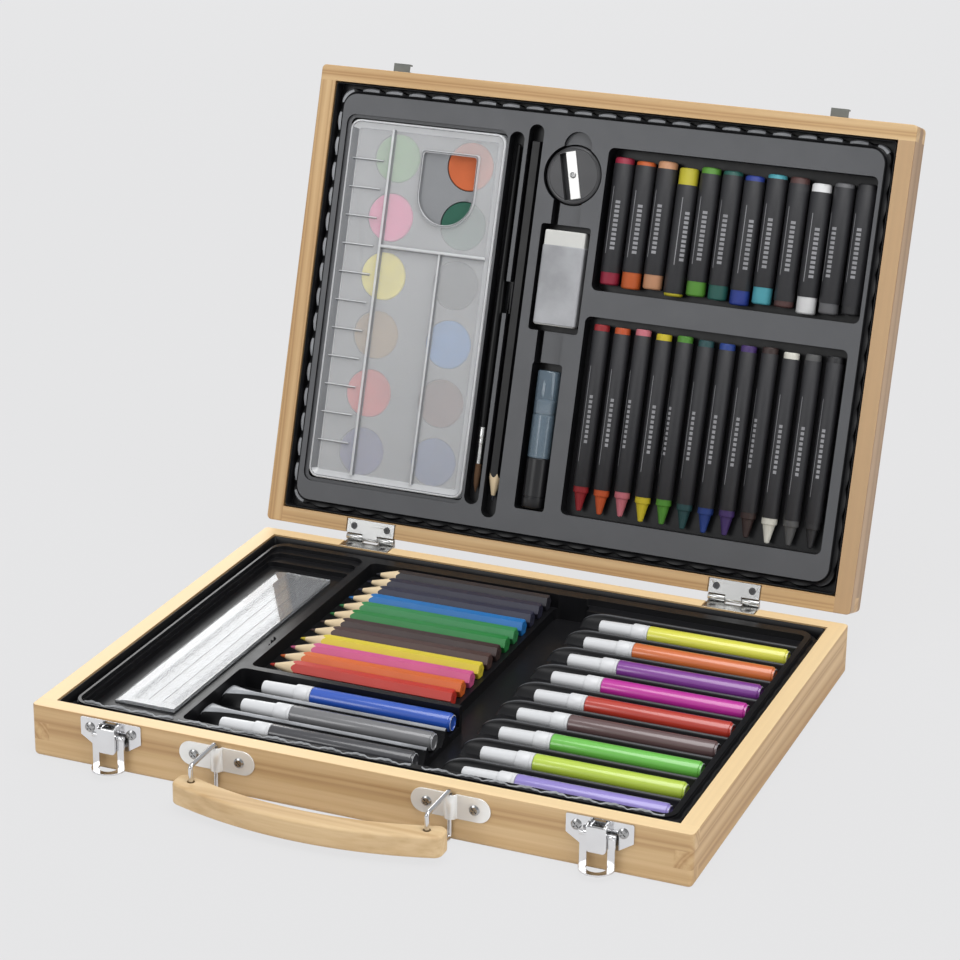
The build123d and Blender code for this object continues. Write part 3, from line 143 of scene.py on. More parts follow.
def plastic(name, colour, rough=0.4, vary=0.08, grain=900, bump=0.15, scuff=0.06, **sockets):
    """A moulded or painted surface: faint mottling, a fine skin and uneven gloss."""
    paint = Paint(name, **sockets)
    cloud = paint.noise(paint.coords, 60, 4)
    tone = paint.ramp(cloud, [(0.3, scaled(colour, 1 - vary)), (0.7, scaled(colour, 1 + vary))])
    paint.link(tone, paint.shader.inputs["Base Color"])
    gloss = paint.spread(paint.noise(paint.coords, 140, 5), max(0.02, rough - scuff), rough + scuff)
    paint.link(gloss, paint.shader.inputs["Roughness"])
    paint.bump(paint.noise(paint.coords, grain, 2), bump, 0.0002)
    return paint.material


def metal(name, colour, rough=0.2, brush=None, bump=0.08):
    """Plated or bare sheet: slightly uneven gloss, brushed along one axis if asked."""
    paint = Paint(name, Metallic=1.0)
    smear = paint.noise(paint.coords, 90, 3, 0.5)
    tone = paint.ramp(smear, [(0.25, scaled(colour, 0.92)), (0.75, colour)])
    paint.link(tone, paint.shader.inputs["Base Color"])
    paint.link(paint.spread(smear, rough * 0.85, rough * 1.15), paint.shader.inputs["Roughness"])
    scratches = paint.mapping(paint.coords, scale=brush or (500, 500, 500))
    paint.bump(paint.noise(scratches, 1.0, 2), bump, 0.0001)
    return paint.material


# The early, middle and late growth of the wood, and the edge colours painted as light,
# bright on the base's rims and dimmer, as painted shade, on the lid's
PALE = linear(210, 180, 136)
MIDDLE = linear(201, 169, 124)
LATE = linear(182, 147, 103)
RIM = linear(238, 210, 163)
SHADED_LID_RIM = linear(182, 150, 112)
BLACK, WHITE = (0, 0, 0, 1), (1, 1, 1, 1)


def wood(
    name, centre, turn=(0, 0, 0), tones=(PALE, MIDDLE, LATE), rings=52.0, rough=0.5,
    rim=None, edge=RIM,
):
    """Pine with soft growth rings about a line along local x.

    rim is the way that the lit edge faces, and edge is that edge's colour, painted as light.
    """
    paint = Paint(name)
    turned = paint.mapping(paint.coords, rotation=turn)
    long = paint.mapping(turned, scale=(0.07, 1, 1), location=centre)
    wave = paint.node(
        "ShaderNodeTexWave", wave_type="RINGS", rings_direction="X", wave_profile="SIN"
    )
    for socket, value in (
        ("Scale", rings), ("Distortion", 9.0),
        ("Detail", 3.0), ("Detail Scale", 0.25), ("Detail Roughness", 0.4),
    ):
        wave.inputs[socket].default_value = value
    paint.link(long, wave.inputs["Vector"])
    early, middle, late = tones
    ring_stops = [(0.0, early), (0.55, middle), (0.9, late), (1.0, middle)]
    ring_tone = paint.ramp(wave.outputs["Fac"], ring_stops)
    fibre = paint.noise(paint.mapping(turned, scale=(9, 420, 420)), 1.0, 3, 0.55)
    fibre_tone = paint.ramp(fibre, [(0.3, linear(226, 212, 190)), (0.62, WHITE)])
    cloud = paint.noise(paint.mapping(turned, scale=(4, 30, 30)), 1.0, 2)
    cloud_tone = paint.ramp(cloud, [(0.3, linear(228, 214, 196)), (0.7, WHITE)])
    tone = paint.multiply(paint.multiply(ring_tone, fibre_tone, 0.6), cloud_tone, 0.7)
    # Faces turned towards rim get the edge colour, painted as light.
    if rim:
        facing = paint.node("ShaderNodeVectorMath", operation="DOT_PRODUCT")
        facing.inputs[1].default_value = rim
        paint.link(paint.node("ShaderNodeTexCoord").outputs["Normal"], facing.inputs[0])
        lit_facing = paint.ramp(facing.outputs["Value"], [(0.6, BLACK), (0.9, WHITE)])
        streaks = paint.ramp(fibre, [(0.3, scaled(edge, 0.94)), (0.7, edge)])
        pale = paint.multiply(streaks, cloud_tone, 0.25)
        mix = paint.node("ShaderNodeMix", data_type="RGBA")
        paint.link(lit_facing, mix.inputs["Factor"])
        paint.link(tone, mix.inputs["A"])
        paint.link(pale, mix.inputs["B"])
        tone = mix.outputs["Result"]
    paint.link(tone, paint.shader.inputs["Base Color"])
    paint.link(paint.spread(fibre, rough - 0.1, rough + 0.12), paint.shader.inputs["Roughness"])
    paint.bump(fibre, 0.15, 0.0002)
    return paint.material


UP = (0, 0, 1)
OUT_OF_LID = (0, -sin(OPEN), -cos(OPEN))
ALONG_Y = (0, 0, -pi / 2)
ALONG_LID = (radians(-72.3), 0, -pi / 2)
HALF_WIDTH, HALF_DEPTH = 0.15, 0.1135
pine = {
    "base_front_board": wood("pine_base_front", (0.3, HALF_DEPTH + 0.018, -0.004), rim=UP),
    "base_back_board": wood("pine_base_back", (0.1, -HALF_DEPTH - 0.022, 0.012), rim=UP),
    "base_left_board": wood("pine_base_left", (0.7, -HALF_WIDTH - 0.02, 0.006), ALONG_Y, rim=UP),
    "base_right_board": wood("pine_base_right", (0.2, HALF_WIDTH + 0.02, 0.002), ALONG_Y, rim=UP),
    "lid_front_board": wood("pine_lid_front", (0.5, -0.18, -0.262)),
    "lid_back_board": wood("pine_lid_back", (0.9, -0.126, -0.05)),
    "lid_left_board": wood("pine_lid_left", (0.4, -HALF_WIDTH - 0.018, 0.11), ALONG_LID),
    # The lid's right board is darker all over and its edge dimmer than the base's: painted shade.
    "lid_right_board": wood(
        "pine_lid_right",
        (0.8, HALF_WIDTH + 0.018, 0.115),
        ALONG_LID,
        tones=(linear(178, 148, 116), linear(168, 138, 106), linear(150, 120, 90)),
        rim=OUT_OF_LID,
        edge=SHADED_LID_RIM,
    ),
    "base_panel": wood("ply_base", (0, 0.3, -0.2), rings=60.0, rough=0.6),
    "lid_panel": wood("ply_lid", (0, 0.1, -0.5), rings=60.0, rough=0.6),
    "handle": wood(
        "handle_pine",
        (0.35, 0.16, -0.02),
        tones=(linear(220, 194, 152), linear(216, 189, 147), linear(208, 180, 138)),
        rings=24.0,
    ),
}
chrome = metal("bright_chrome", (0.72, 0.72, 0.73, 1), 0.16)
nickel = metal("nickel_screws", (0.38, 0.38, 0.38, 1), 0.22)
zinc = metal("hinge_zinc", (0.62, 0.62, 0.61, 1), 0.25)
wire_metal = metal("wire_steel", (0.66, 0.66, 0.67, 1), 0.16)
dark_pin = metal("pin_steel", (0.28, 0.28, 0.28, 1), 0.3)
dark_head = plastic("screw_heads", linear(78, 78, 79), 0.35, vary=0.2, bump=0.2, Metallic=0.4)
strike_grey = plastic("strike_grey", linear(104, 107, 103), 0.4, vary=0.1, bump=0.1, Metallic=0.3)
plating = plastic("plate_nickel", linear(234, 234, 232), 0.2, vary=0.03, bump=0.04, Metallic=0.35)


def dress(material, *names):
    """Give carried-over parts their material."""
    for name in names:
        mesh = nodes[name].data
        mesh.materials.clear()
        mesh.materials.append(material)


def add_bevel(obj, width, segments, angle):
    """Round the edges that turn by more than the angle, in degrees."""
    bevel = obj.modifiers.new("bevel", "BEVEL")
    bevel.width = width * MM
    bevel.segments = segments
    bevel.limit_method = "ANGLE"
    bevel.angle_limit = radians(angle)
    bevel.harden_normals = True


def soften(width, *names):
    """Round the sharp edges of carried-over sheet parts a little."""
    for name in names:
        weld = nodes[name].modifiers.new("weld", "WELD")
        weld.merge_threshold = 0.00001
        add_bevel(nodes[name], width, 2, 50)


for board, material in pine.items():
    dress(material, board)
for side in ("left", "right"):
    latch = ["latch_" + side + "_" + part for part in ("plate", "lever", "bail")]
    leaves = ["hinge_" + side + "_" + part for part in ("base_leaf", "lid_leaf")]
    handle_plate, strike = "handle_" + side + "_plate", "latch_" + side + "_strike"
    dress(chrome, *latch)
    dress(plating, handle_plate)
    soften(0.18, *latch, handle_plate, strike)
    dress(dark_pin, "latch_" + side + "_pivot", "hinge_" + side + "_pin")
    dress(strike_grey, strike)
    dress(zinc, *leaves)
    soften(0.15, *leaves)
    dress(wire_metal, "handle_link_" + side)
dress(nickel, "latch_screws", "handle_screws")
dress(dark_head, "strike_screws", "hinge_base_screws", "hinge_lid_screws")


# Mesh helpers
class Bag:
    """Faces gathered for one piece, each with the number of its paint."""

    def __init__(self):
        self.verts = []
        self.faces = []
        self.paints = []

    def face(self, corners, paint):
        self.faces.append(tuple(corners))
        self.paints.append(paint)

    def rings(self, rings, paints, place=Matrix(), caps=True):
        """Join rings of points in turn. paints has a number for each band, then for each cap."""
        start = len(self.verts)
        count = len(rings[0])
        for ring in rings:
            self.verts += [place @ Vector(p) for p in ring]
        for k in range(len(rings) - 1):
            a = start + k * count
            for i in range(count):
                j = (i + 1) % count
                self.face((a + i, a + j, a + count + j, a + count + i), paints[k])
        if caps:
            last = start + (len(rings) - 1) * count
            self.face(range(start + count - 1, start - 1, -1), paints[-2])
            self.face(range(last, last + count), paints[-1])

    def turned(self, profile, paint, place, segments=32):
        """A piece turned about local x, from points (x, radius).

        paint is one number, or a list with one for each point and the band that follows it.
        """
        paints = paint if isinstance(paint, list) else [paint] * len(profile)
        rings = []
        for x, radius in profile:
            ring = []
            for i in range(segments):
                angle = 2 * pi * i / segments
                ring.append((x, radius * cos(angle), radius * sin(angle)))
            rings.append(ring)
        self.rings(rings, paints[:-1] + [paints[0], paints[-1]], place)

    def plate(self, outline, low, high, place=Matrix()):
        """A flat plate from an outline of (x, y) points."""
        rings = [[(x, y, z) for x, y in outline] for z in (low, high)]
        self.rings(rings, [0] * 3, place)


def mesh_of(name, half, bag, materials=()):
    """The bag as a mesh, in metres in the row frame, with its faces turned outwards."""
    mesh = bpy.data.meshes.new(name)
    mesh.from_pydata([half @ v * MM for v in bag.verts], [], bag.faces)
    mesh.polygons.foreach_set("material_index", bag.paints)
    for material in materials:
        mesh.materials.append(material)
    shape = bmesh.new()
    shape.from_mesh(mesh)
    bmesh.ops.recalc_face_normals(shape, faces=shape.faces)
    shape.to_mesh(mesh)
    shape.free()
    return mesh


def shade_smooth(mesh):
    mesh.polygons.foreach_set("use_smooth", [True] * len(mesh.polygons))


def piece(name, body, half, bag, materials, replaces=(), bevel=0.0, smooth=38):
    """Make the object from the bag and hang it on its body."""
    mesh = mesh_of(name, half, bag, materials)
    obj = bpy.data.objects.new(name, mesh)
    bpy.context.scene.collection.objects.link(obj)
    shade_smooth(mesh)
    if bevel:
        add_bevel(obj, bevel, 3, 40)
    else:
        mesh.set_sharp_from_angle(angle=radians(smooth))
    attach(obj, body)
    if replaces:
        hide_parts(*replaces)
    return obj


def box(x0, x1, y0, y1):
    """The outline of a rectangle."""
    return [(x0, y0), (x1, y0), (x1, y1), (x0, y1)]


def rounded(x0, x1, y0, y1, radius, steps=6):
    """The outline of a rectangle with rounded corners."""
    out = []
    for cx, cy, start in (
        (x1 - radius, y1 - radius, 0),
        (x0 + radius, y1 - radius, 1),
        (x0 + radius, y0 + radius, 2),
        (x1 - radius, y0 + radius, 3),
    ):
        for i in range(steps + 1):
            angle = pi / 2 * (start + i / steps)
            out.append((cx + radius * cos(angle), cy + radius * sin(angle)))
    return out


def disc(cx, cy, radius):
    angles = [2 * pi * i / 64 for i in range(64)]
    return [(cx + radius * cos(angle), cy + radius * sin(angle)) for angle in angles]


def carve(target, half, cutters):
    """Cut plates, given as (outline, floor, top), out of the target, and keep its bevel last."""
    made = []
    for outline, low, high in cutters:
        bag = Bag()
        bag.plate(outline, low, high)
        cutter = bpy.data.objects.new("cutter", mesh_of("cutter", half, bag))
        bpy.context.scene.collection.objects.link(cutter)
        made.append(cutter)
        cut = target.modifiers.new("cut", "BOOLEAN")
        cut.operation = "DIFFERENCE"
        cut.solver = "EXACT"
        cut.object = cutter
    bevelled = "bevel" in target.modifiers
    if bevelled:
        target.modifiers.move(0, len(target.modifiers) - 1)
        target.modifiers["bevel"].show_viewport = False
    bpy.context.view_layer.update()
    solid = target.evaluated_get(bpy.context.evaluated_depsgraph_get())
    mesh = bpy.data.meshes.new_from_object(solid)
    for modifier in [m for m in target.modifiers if m.type == "BOOLEAN"]:
        target.modifiers.remove(modifier)
    target.data = mesh
    if bevelled:
        target.modifiers["bevel"].show_viewport = True
        shade_smooth(mesh)
    for cutter in made:
        bpy.data.objects.remove(cutter)


# The formed plastic trays
tray_black = plastic(
    "tray_plastic", linear(21, 21, 23), 0.34, vary=0.1, grain=1400, bump=0.08, scuff=0.07,
    Specular_IOR_Level=0.28,
)
# A mid grey painted as sheen on the lid's shallow flat faces, and as a highlight on some ridge
# crests.
tray_painted_sheen = plastic(
    "tray_painted_sheen", linear(74, 75, 78), 0.4, vary=0.05, grain=1400, bump=0.08, scuff=0.05
)
# A light grey painted as a highlight on the lid's scallops and the flared ridges' crests.
tray_glint = plastic(
    "tray_glint", linear(148, 150, 154), 0.3, vary=0.3, grain=700, bump=0.2, scuff=0.1
)
TRAY_HALF = (141.3, 105.4)
TRAY_CORNER = 7.0
WALL_CORNER = 1.5
SCALLOP = 12.5
SCALLOP_STEPS = 10
CORNER_STEPS = 12
OVER_RIM = 3


def flange_points(inset):
    """Points round the deck as (x, y, normal x, normal y, scallop, wall x, wall y)."""
    half_x = TRAY_HALF[0] - inset
    half_y = TRAY_HALF[1] - inset
    corner = TRAY_CORNER
    points = []
    sides = (
        ((half_x, corner - half_y), (half_x, half_y - corner)),
        ((half_x - corner, half_y), (corner - half_x, half_y)),
        ((-half_x, half_y - corner), (-half_x, corner - half_y)),
        ((corner - half_x, -half_y), (half_x - corner, -half_y)),
    )
    for quarter, ((x0, y0), (x1, y1)) in enumerate(sides):
        nx, ny = cos(pi / 2 * quarter), sin(pi / 2 * quarter)
        bumps = round(sqrt((x1 - x0) ** 2 + (y1 - y0) ** 2) / SCALLOP)
        steps = bumps * SCALLOP_STEPS
        for i in range(steps):
            share = i / steps
            wave = abs(sin(pi * bumps * share))
            x, y = x0 + (x1 - x0) * share, y0 + (y1 - y0) * share
            points.append((x, y, nx, ny, wave, x + inset * nx, y + inset * ny))
        cx, cy = x1 - corner * nx, y1 - corner * ny
        for i in range(CORNER_STEPS):
            normal = pi / 2 * (quarter + i / CORNER_STEPS)
            nx, ny = cos(normal), sin(normal)
            wave = abs(sin(pi * i / CORNER_STEPS))
            wall_x = copysign(TRAY_HALF[0] - WALL_CORNER, cx) + WALL_CORNER * nx
            wall_y = copysign(TRAY_HALF[1] - WALL_CORNER, cy) + WALL_CORNER * ny
            points.append((cx + corner * nx, cy + corner * ny, nx, ny, wave, wall_x, wall_y))
    return points


def fluted_edge(name, body, half, inset, deck, foot):
    """The tray's outer edge: a step down, a scalloped flange, a channel and a lip at the wood."""
    points = flange_points(inset)
    rows = (
        (-0.8, 0.0, -0.9),
        (0.25, 0.0, -1.1),
        (0.5, 0.0, -1.9),
        (1.0, 0.0, -2.25),
        (inset - 3.2, 0.3, -2.4),
        (inset - 2.6, 1.0, -2.7),
        (inset - 2.3, 1.5, -3.6),
        (inset - 2.3, 1.5, -5.6),
    )
    lip = ((0.4, deck - 5.7), (0.4, -0.6), (0.3, -0.5), (0.12, -0.5), (0.05, -0.6), (0.05, foot))
    bag = Bag()
    rings = []
    for offset, amount, drop in rows:
        ring = []
        for x, y, nx, ny, wave, _, _ in points:
            out = offset + amount * wave
            lift = 0.5 * wave if amount > 0.9 and drop > -4 else 0.0
            ring.append((x + out * nx, y + out * ny, deck + drop + lift))
        rings.append(ring)
    for gap, z in lip:
        ring = []
        for _, _, nx, ny, _, wall_x, wall_y in points:
            ring.append((wall_x - gap * nx, wall_y - gap * ny, z))
        rings.append(ring)
    bag.rings(rings, [0] * (len(rings) - 1), caps=False)
    if body == "lid":
        # The scallops on the left and at the top get a painted highlight.
        for i, (_, _, nx, ny, wave, _, _) in enumerate(points):
            if wave > 0.5 and (nx < -0.5 or ny > 0.5):
                for band in (4, 5):
                    bag.paints[band * len(points) + i] = 1
    piece(name, body, half, bag, [tray_black, tray_glint], smooth=50)


def paint_deck_sheen(obj, half):
    """Flat faces less than 7 mm below the rim get a grey as painted sheen; the pockets stay black.
    """
    back = half.inverted()
    out = (half.to_3x3() @ Vector((0, 0, 1))).normalized()
    obj.data.materials.append(tray_painted_sheen)
    for face in obj.data.polygons:
        height = (back @ (face.center / MM)).z
        if face.normal.dot(out) > 0.9 and height > -7:
            face.material_index = 1


def tray(name, body, half, deck, foot, inset, pockets, discs=()):
    """The tray's deck with its pockets cut in, all edges rounded as formed sheet is."""
    x, y = TRAY_HALF[0] - inset, TRAY_HALF[1] - inset
    bag = Bag()
    bag.plate(rounded(-x, x, -y, y, TRAY_CORNER, 8), foot, deck)
    obj = piece(name + "_deck", body, half, bag, [tray_black], [name], bevel=0.7)
    cutters = []
    for x0, x1, y0, y1, floor, radius in pockets:
        cutters.append((rounded(x0, x1, y0, y1, radius), floor, OVER_RIM))
    for cx, cy, radius, floor in discs:
        cutters.append((disc(cx, cy, radius), floor, OVER_RIM))
    carve(obj, half, cutters)
    if body == "lid":
        paint_deck_sheen(obj, half)
    fluted_edge(name + "_edge", body, half, inset, deck, foot)


# Pockets as (x from, x to, y from, y to, floor, corner radius)
base_pockets = [
    (-136.0, -88.0, -99.6, 97.5, -3.4, 6.0),
    (-134.9, -89.5, -99.0, 92.5, -5.6, 5.0),
    (-134.4, -90.6, -98.6, 86.0, -8.0, 4.0),
    (-94.0, -85.5, -36.0, -4.0, -8.0, 3.0),
    (-83.5, 15.0, -36.5, 95.0, -8.5, 3.0),
    (12.0, 30.0, -37.0, 95.0, -14.0, 3.0),
    (19.0, 30.0, -97.5, -34.0, -14.0, 3.0),
    (-86.0, 22.0, -97.5, -40.0, -10.75, 3.0),
    (27.0, 134.5, -97.5, 89.0, -10.75, 3.0),
    (27.0, 134.5, 60.0, 96.0, -4.8, 3.0),
]
tray("base_tray", "case_base", BASE, -1.5, -21.6, 4.2, base_pockets)
# The crinkled lip along the base's front is light grey, a painted highlight on the black plastic.
bag = Bag()
lip_foot = -1.6
for from_x, to_x in ((-132.0, -89.0), (-86.0, 22.0), (27.0, 133.0)):
    rings = []
    count = round((to_x - from_x) * 1.5)
    for i in range(count + 1):
        x = from_x + (to_x - from_x) * i / count
        wave = abs(sin(pi * (x + 84) / 12.6))
        y = -100.2 + 1.4 * wave + 0.3 * sin(x * 1.7)
        height = 0.3 + 0.6 * wave
        ring = [(x, y - 0.55, lip_foot), (x, y - 0.25, lip_foot + 0.8 * height)]
        ring += [(x, y, lip_foot + height), (x, y + 0.25, lip_foot + 0.7 * height)]
        ring += [(x, y + 0.4, lip_foot - 0.8)]
        rings.append(ring)
    bag.rings(rings, [0] * (count + 2))
lip_painted_highlight = plastic("lip_painted_highlight", linear(148, 150, 153), 0.34, vary=0.3, grain=700, bump=0.2)
piece("front_lip", "case_base", BASE, bag, [lip_painted_highlight], smooth=60)

# The middle line of sharpener and eraser, and the sharpener's height on it
COLUMN = -13.455
SHARPENER_Y = 73.2
lid_pockets = [
    (-134.0, -48.7, -91.4, 90.9, -3.4, 4.5),
    (-132.0, -48.7, -89.7, 89.3, -13.0, 3.0),
    (-47.7, -40.1, -90.5, 91.0, -9.5, 3.75),
    (-38.1, -30.5, -95.6, 95.4, -9.5, 3.75),
    (-47.7, -30.5, 3.5, 19.0, -9.5, 1.5),
    (-26.0, -0.6, -2.4, 49.0, -12.5, 1.5),
    (-20.3, -6.9, 44.0, 64.0, -4.4, 1.5),
    (-21.4, -18.6, 44.0, 62.0, -9.5, 0.6),
    (-21.4, -6.0, -88.9, -17.6, -12.9, 1.5),
    (-19.5, -7.5, -21.0, 0.0, -4.4, 1.5),
    (-20.8, -18.2, -19.0, 0.0, -9.5, 0.6),
    (3.2, 134.9, 20.0, 88.3, -13.2, 3.0),
    (2.4, 131.8, -88.4, 7.5, -10.0, 3.0),
]
lid_discs = [(COLUMN, SHARPENER_Y, 14.7, -12.5), (COLUMN + 0.95, 87.0, 7.0, -4.4)]
tray("lid_tray", "lid", LID, -2.0, -17.4, 4.6, lid_pockets, lid_discs)


def ridges(name, from_x, to_x, ys, flare):
    """Low ridges between the markers, rounded on top, with a flared or a drooping left end."""
    bag = Bag()
    floor, top = -11.2, -4.2
    sections = 40
    rise_length = 3.0 if flare else 14.0
    crest_faces = range(2, 10) if flare else range(4, 8)
    for y in ys:
        rings = []
        for i in range(sections + 1):
            x = from_x + (to_x - from_x) * (i / sections) ** 1.6
            into = x - from_x
            rise = min(1.0, into / rise_length)
            height = (top - floor) * sqrt(max(0.0, 1 - (1 - rise) ** 2))
            shoulder = floor + height * 0.45
            wide = 1.0 + (4.4 * max(0.0, 1 - into / 18) ** 1.6 if flare else 0.0)
            foot = max(5.2, wide + 1)
            ring = [(x, y - foot, floor), (x, y - wide - 0.8, shoulder)]
            for step in range(9):
                angle = pi - pi * step / 8
                z = floor + height * (0.86 + 0.14 * sin(angle))
                ring.append((x, y + wide * cos(angle), z))
            ring += [(x, y + wide + 0.8, shoulder), (x, y + foot, floor)]
            rings.append(ring)
        start = len(bag.paints)
        bag.rings(rings, [0] * (sections + 2))
        for band in range(sections):
            for i in crest_faces:
                bag.paints[start + band * len(ring) + i] = 1
    # The crests are painted lighter as a highlight: light grey on the flared ridges, mid grey on
    # the rest.
    crest = tray_glint if flare else tray_painted_sheen
    piece(name, "case_base", BASE, bag, [tray_black, crest], smooth=50)


# The first marker's place and the pitch of each group
LEFT_Y, LEFT_PITCH = -86.4, 20.4
RIGHT_Y, RIGHT_PITCH = -88.4, 20.76
left_gaps = [LEFT_Y + (i + 0.5) * LEFT_PITCH for i in range(2)]
right_gaps = [RIGHT_Y + (i + 0.5) * RIGHT_PITCH for i in range(9)]
ridges("left_marker_ridges", -86.4, 19.5, left_gaps, True)
ridges("right_marker_ridges", 28.0, 134.9, right_gaps, False)

# The coloured pencils
bare_wood = plastic("pencil_bare_wood", linear(222, 200, 164), 0.65, vary=0.1, grain=500, bump=0.3)
pencil_colours = [
    (184, 48, 36), (206, 98, 40), (200, 86, 134), (212, 192, 54), (74, 54, 50), (60, 45, 43),
    (40, 124, 62), (50, 130, 76), (32, 108, 174), (46, 48, 66), (44, 44, 60), (42, 41, 47),
]


def pencil(bag, place, flats, length, paints):
    """A sharpened hexagonal pencil: lead, bare wood, and lacquer that ends in scallops."""
    lead, bare, lacquer = paints
    apothem = flats / 2
    corner = apothem / cos(pi / 6)
    lead_end, lead_radius, cone = 2.6, 1.0, 13.5
    count = 36
    angles = [2 * pi * i / count for i in range(count)]
    radii = [apothem / cos(angle % (pi / 3) - pi / 6) for angle in angles]
    scallops = [
        lead_end + (cone - lead_end) * (r - lead_radius) / (corner - lead_radius) for r in radii
    ]

    def ring(xs, rs):
        return [(x, r * cos(angle), r * sin(angle)) for x, r, angle in zip(xs, rs, angles)]

    def level(x, radius):
        return ring([x] * count, [radius] * count)

    rings = [
        level(0.0, 0.22),
        level(0.35, 0.42),
        level(lead_end, lead_radius),
        ring(scallops, radii),
        ring([x + 0.25 for x in scallops], radii),
        ring([length - 0.35] * count, radii),
        ring([length] * count, [r - 0.35 for r in radii]),
        level(length, 1.1),
    ]
    bag.rings(rings, [lead, lead, bare] + [lacquer] * 4 + [lead, lead], place)


def lacquer(name, colour, rough=0.36):
    return plastic(name, colour, rough, vary=0.05, grain=700, bump=0.1, Specular_IOR_Level=0.42)


bag = Bag()
pencil_x, pencil_y, pencil_z, pencil_pitch = -79.4, -24.8, -5.0, 10.5
pencil_paints = [bare_wood]
for i, colour in enumerate(pencil_colours):
    pencil_paints.append(lacquer("pencil_lacquer_%d" % i, linear(*colour)))
    pencil_paints.append(plastic("pencil_lead_%d" % i, scaled(linear(*colour), 0.75), 0.6))
    place = Matrix.Translation((pencil_x, pencil_y + pencil_pitch * i, pencil_z))
    pencil(bag, place, 6.8, 89.4, (2 * i + 2, 0, 2 * i + 1))
piece(
    "coloured_pencil_set", "pencils", BASE, bag, pencil_paints,
    ["coloured_pencils"], smooth=32,
)

# The markers
marker_rows = [(-72.5, LEFT_Y + LEFT_PITCH * i) for i in range(3)]
marker_rows += [(40.9, RIGHT_Y + RIGHT_PITCH * i) for i in range(9)]
marker_colours = [
    (60, 60, 64), (112, 112, 114), (38, 82, 178),
    (142, 128, 198), (180, 204, 70), (106, 186, 74), (98, 76, 76), (182, 56, 42),
    (186, 42, 150), (126, 58, 146), (206, 108, 56), (214, 212, 74),
]
barrel_profile = [
    (10.0, 0.35), (10.6, 0.75), (14.3, 0.8), (14.4, 2.1), (16.0, 2.6), (24.1, 2.6), (24.2, 4.0),
    (24.5, 4.25), (89.4, 4.25), (89.9, 4.05), (90.1, 3.7), (90.9, 3.55), (91.0, 3.3), (90.6, 3.1),
    (90.6, 0.6),
]
cap_profile = [
    (23.95, 2.85), (24.0, 4.05), (23.8, 4.25), (22.6, 4.25), (22.4, 4.12), (22.2, 4.25),
    (16.9, 4.25), (16.4, 4.1), (16.1, 3.62), (15.6, 3.5), (1.2, 3.2), (0.4, 3.0), (0.0, 2.3),
    (0.5, 1.9), (0.5, 0.5),
]
cap_white = plastic("marker_cap_white", linear(216, 217, 219), 0.35, vary=0.02, bump=0.05)
plug_white = plastic("marker_plug", linear(206, 208, 212), 0.4, vary=0.03, bump=0.05)
barrels, caps, barrel_paints = Bag(), Bag(), [cap_white, plug_white]
for i, ((x, y), colour) in enumerate(zip(marker_rows, marker_colours)):
    place = Matrix.Translation((x, y, -6.3))
    tint = linear(*colour)
    barrel_paints.append(
        plastic(
            "marker_barrel_%d" % i, tint, 0.3, vary=0.03, grain=500, bump=0.01, scuff=0.02,
            Coat_Weight=0.9, Coat_Roughness=0.1,
        )
    )
    barrel_paints.append(plastic("marker_nib_%d" % i, scaled(tint, 0.7), 0.8))
    plug, tube, nib = 1, 2 * i + 2, 2 * i + 3
    bands = [nib] * 2 + [plug] * 3 + [tube] * 6 + [plug] + [tube] * 3
    barrels.turned(barrel_profile, bands, place)
    caps.turned(cap_profile, 0, place)
piece(
    "marker_barrel_set", "markers", BASE, barrels, barrel_paints, ["marker_barrels"]
)
piece("marker_cap_set", "marker_caps", BASE, caps, [cap_white], ["marker_caps"])

# The pastels and crayons, in black paper with a plain silver line and a row of short plain bars
STICKS = 12
paper = plastic("wrapper_paper", linear(36, 36, 39), 0.5, vary=0.08, grain=1600, bump=0.25)
silver = plastic("wrapper_print", linear(132, 132, 135), 0.5, vary=0.15)
UPRIGHT = Matrix.Rotation(pi / 2, 4, "Z")


def stripe(bag, place, radius, from_x, to_x, from_angle, to_angle):
    """A printed line on a round wrapper, as a thin raised patch."""
    rings = []
    for x in (from_x, to_x):
        outer, inner = [], []
        for i in range(4):
            angle = from_angle + (to_angle - from_angle) * i / 3
            outer.append((x, (radius + 0.04) * cos(angle), (radius + 0.04) * sin(angle)))
            inner.append((x, (radius - 0.1) * cos(angle), (radius - 0.1) * sin(angle)))
        rings.append(outer + inner[::-1])
    bag.rings(rings, [1] * 3, place)


def wrapped_sticks(kind, body, colours, places, profile, radius, wraps, line, bars):
    """A row of wax sticks and their paper wrappers.

    places are (x, y, z, turn), line is (from, to) and bars are (from, count, pitch, degrees).
    """
    sticks, wrappers, paints = Bag(), Bag(), []
    inner, outer = radius + 0.05, radius + 0.35
    first, count, pitch, width = bars
    for i, ((x, y, z, turn), colour) in enumerate(zip(places, colours)):
        place = Matrix.Translation((x, y, z)) @ UPRIGHT @ Matrix.Rotation(turn, 4, "X")
        wax, name = linear(*colour), "%s_wax_%d" % (kind, i)
        paints.append(plastic(name, wax, 0.5, vary=0.1, grain=420, bump=0.35, scuff=0.12))
        sticks.turned(profile, i, place)
        low, high = wraps[i]
        wrap = [(low, inner), (low, outer - 0.1), (low + 0.15, outer)]
        wrap += [(high - 0.15, outer), (high, outer - 0.1), (high, inner)]
        wrappers.turned(wrap, 0, place, 40)
        stripe(wrappers, place, outer, *line, radians(58), radians(62))
        for k in range(count):
            start = first + pitch * k
            end = start + 0.62 * pitch
            stripe(wrappers, place, outer, start, end, radians(84), radians(84 + width))
    wax_name, paper_name = kind + "_sticks", kind + "_wrappers"
    paper_paints = [paper, silver]
    piece(kind + "_stick_set", body, LID, sticks, paints, [wax_name])
    piece(
        kind + "_wrapper_set", body, LID, wrappers, paper_paints, [paper_name]
    )


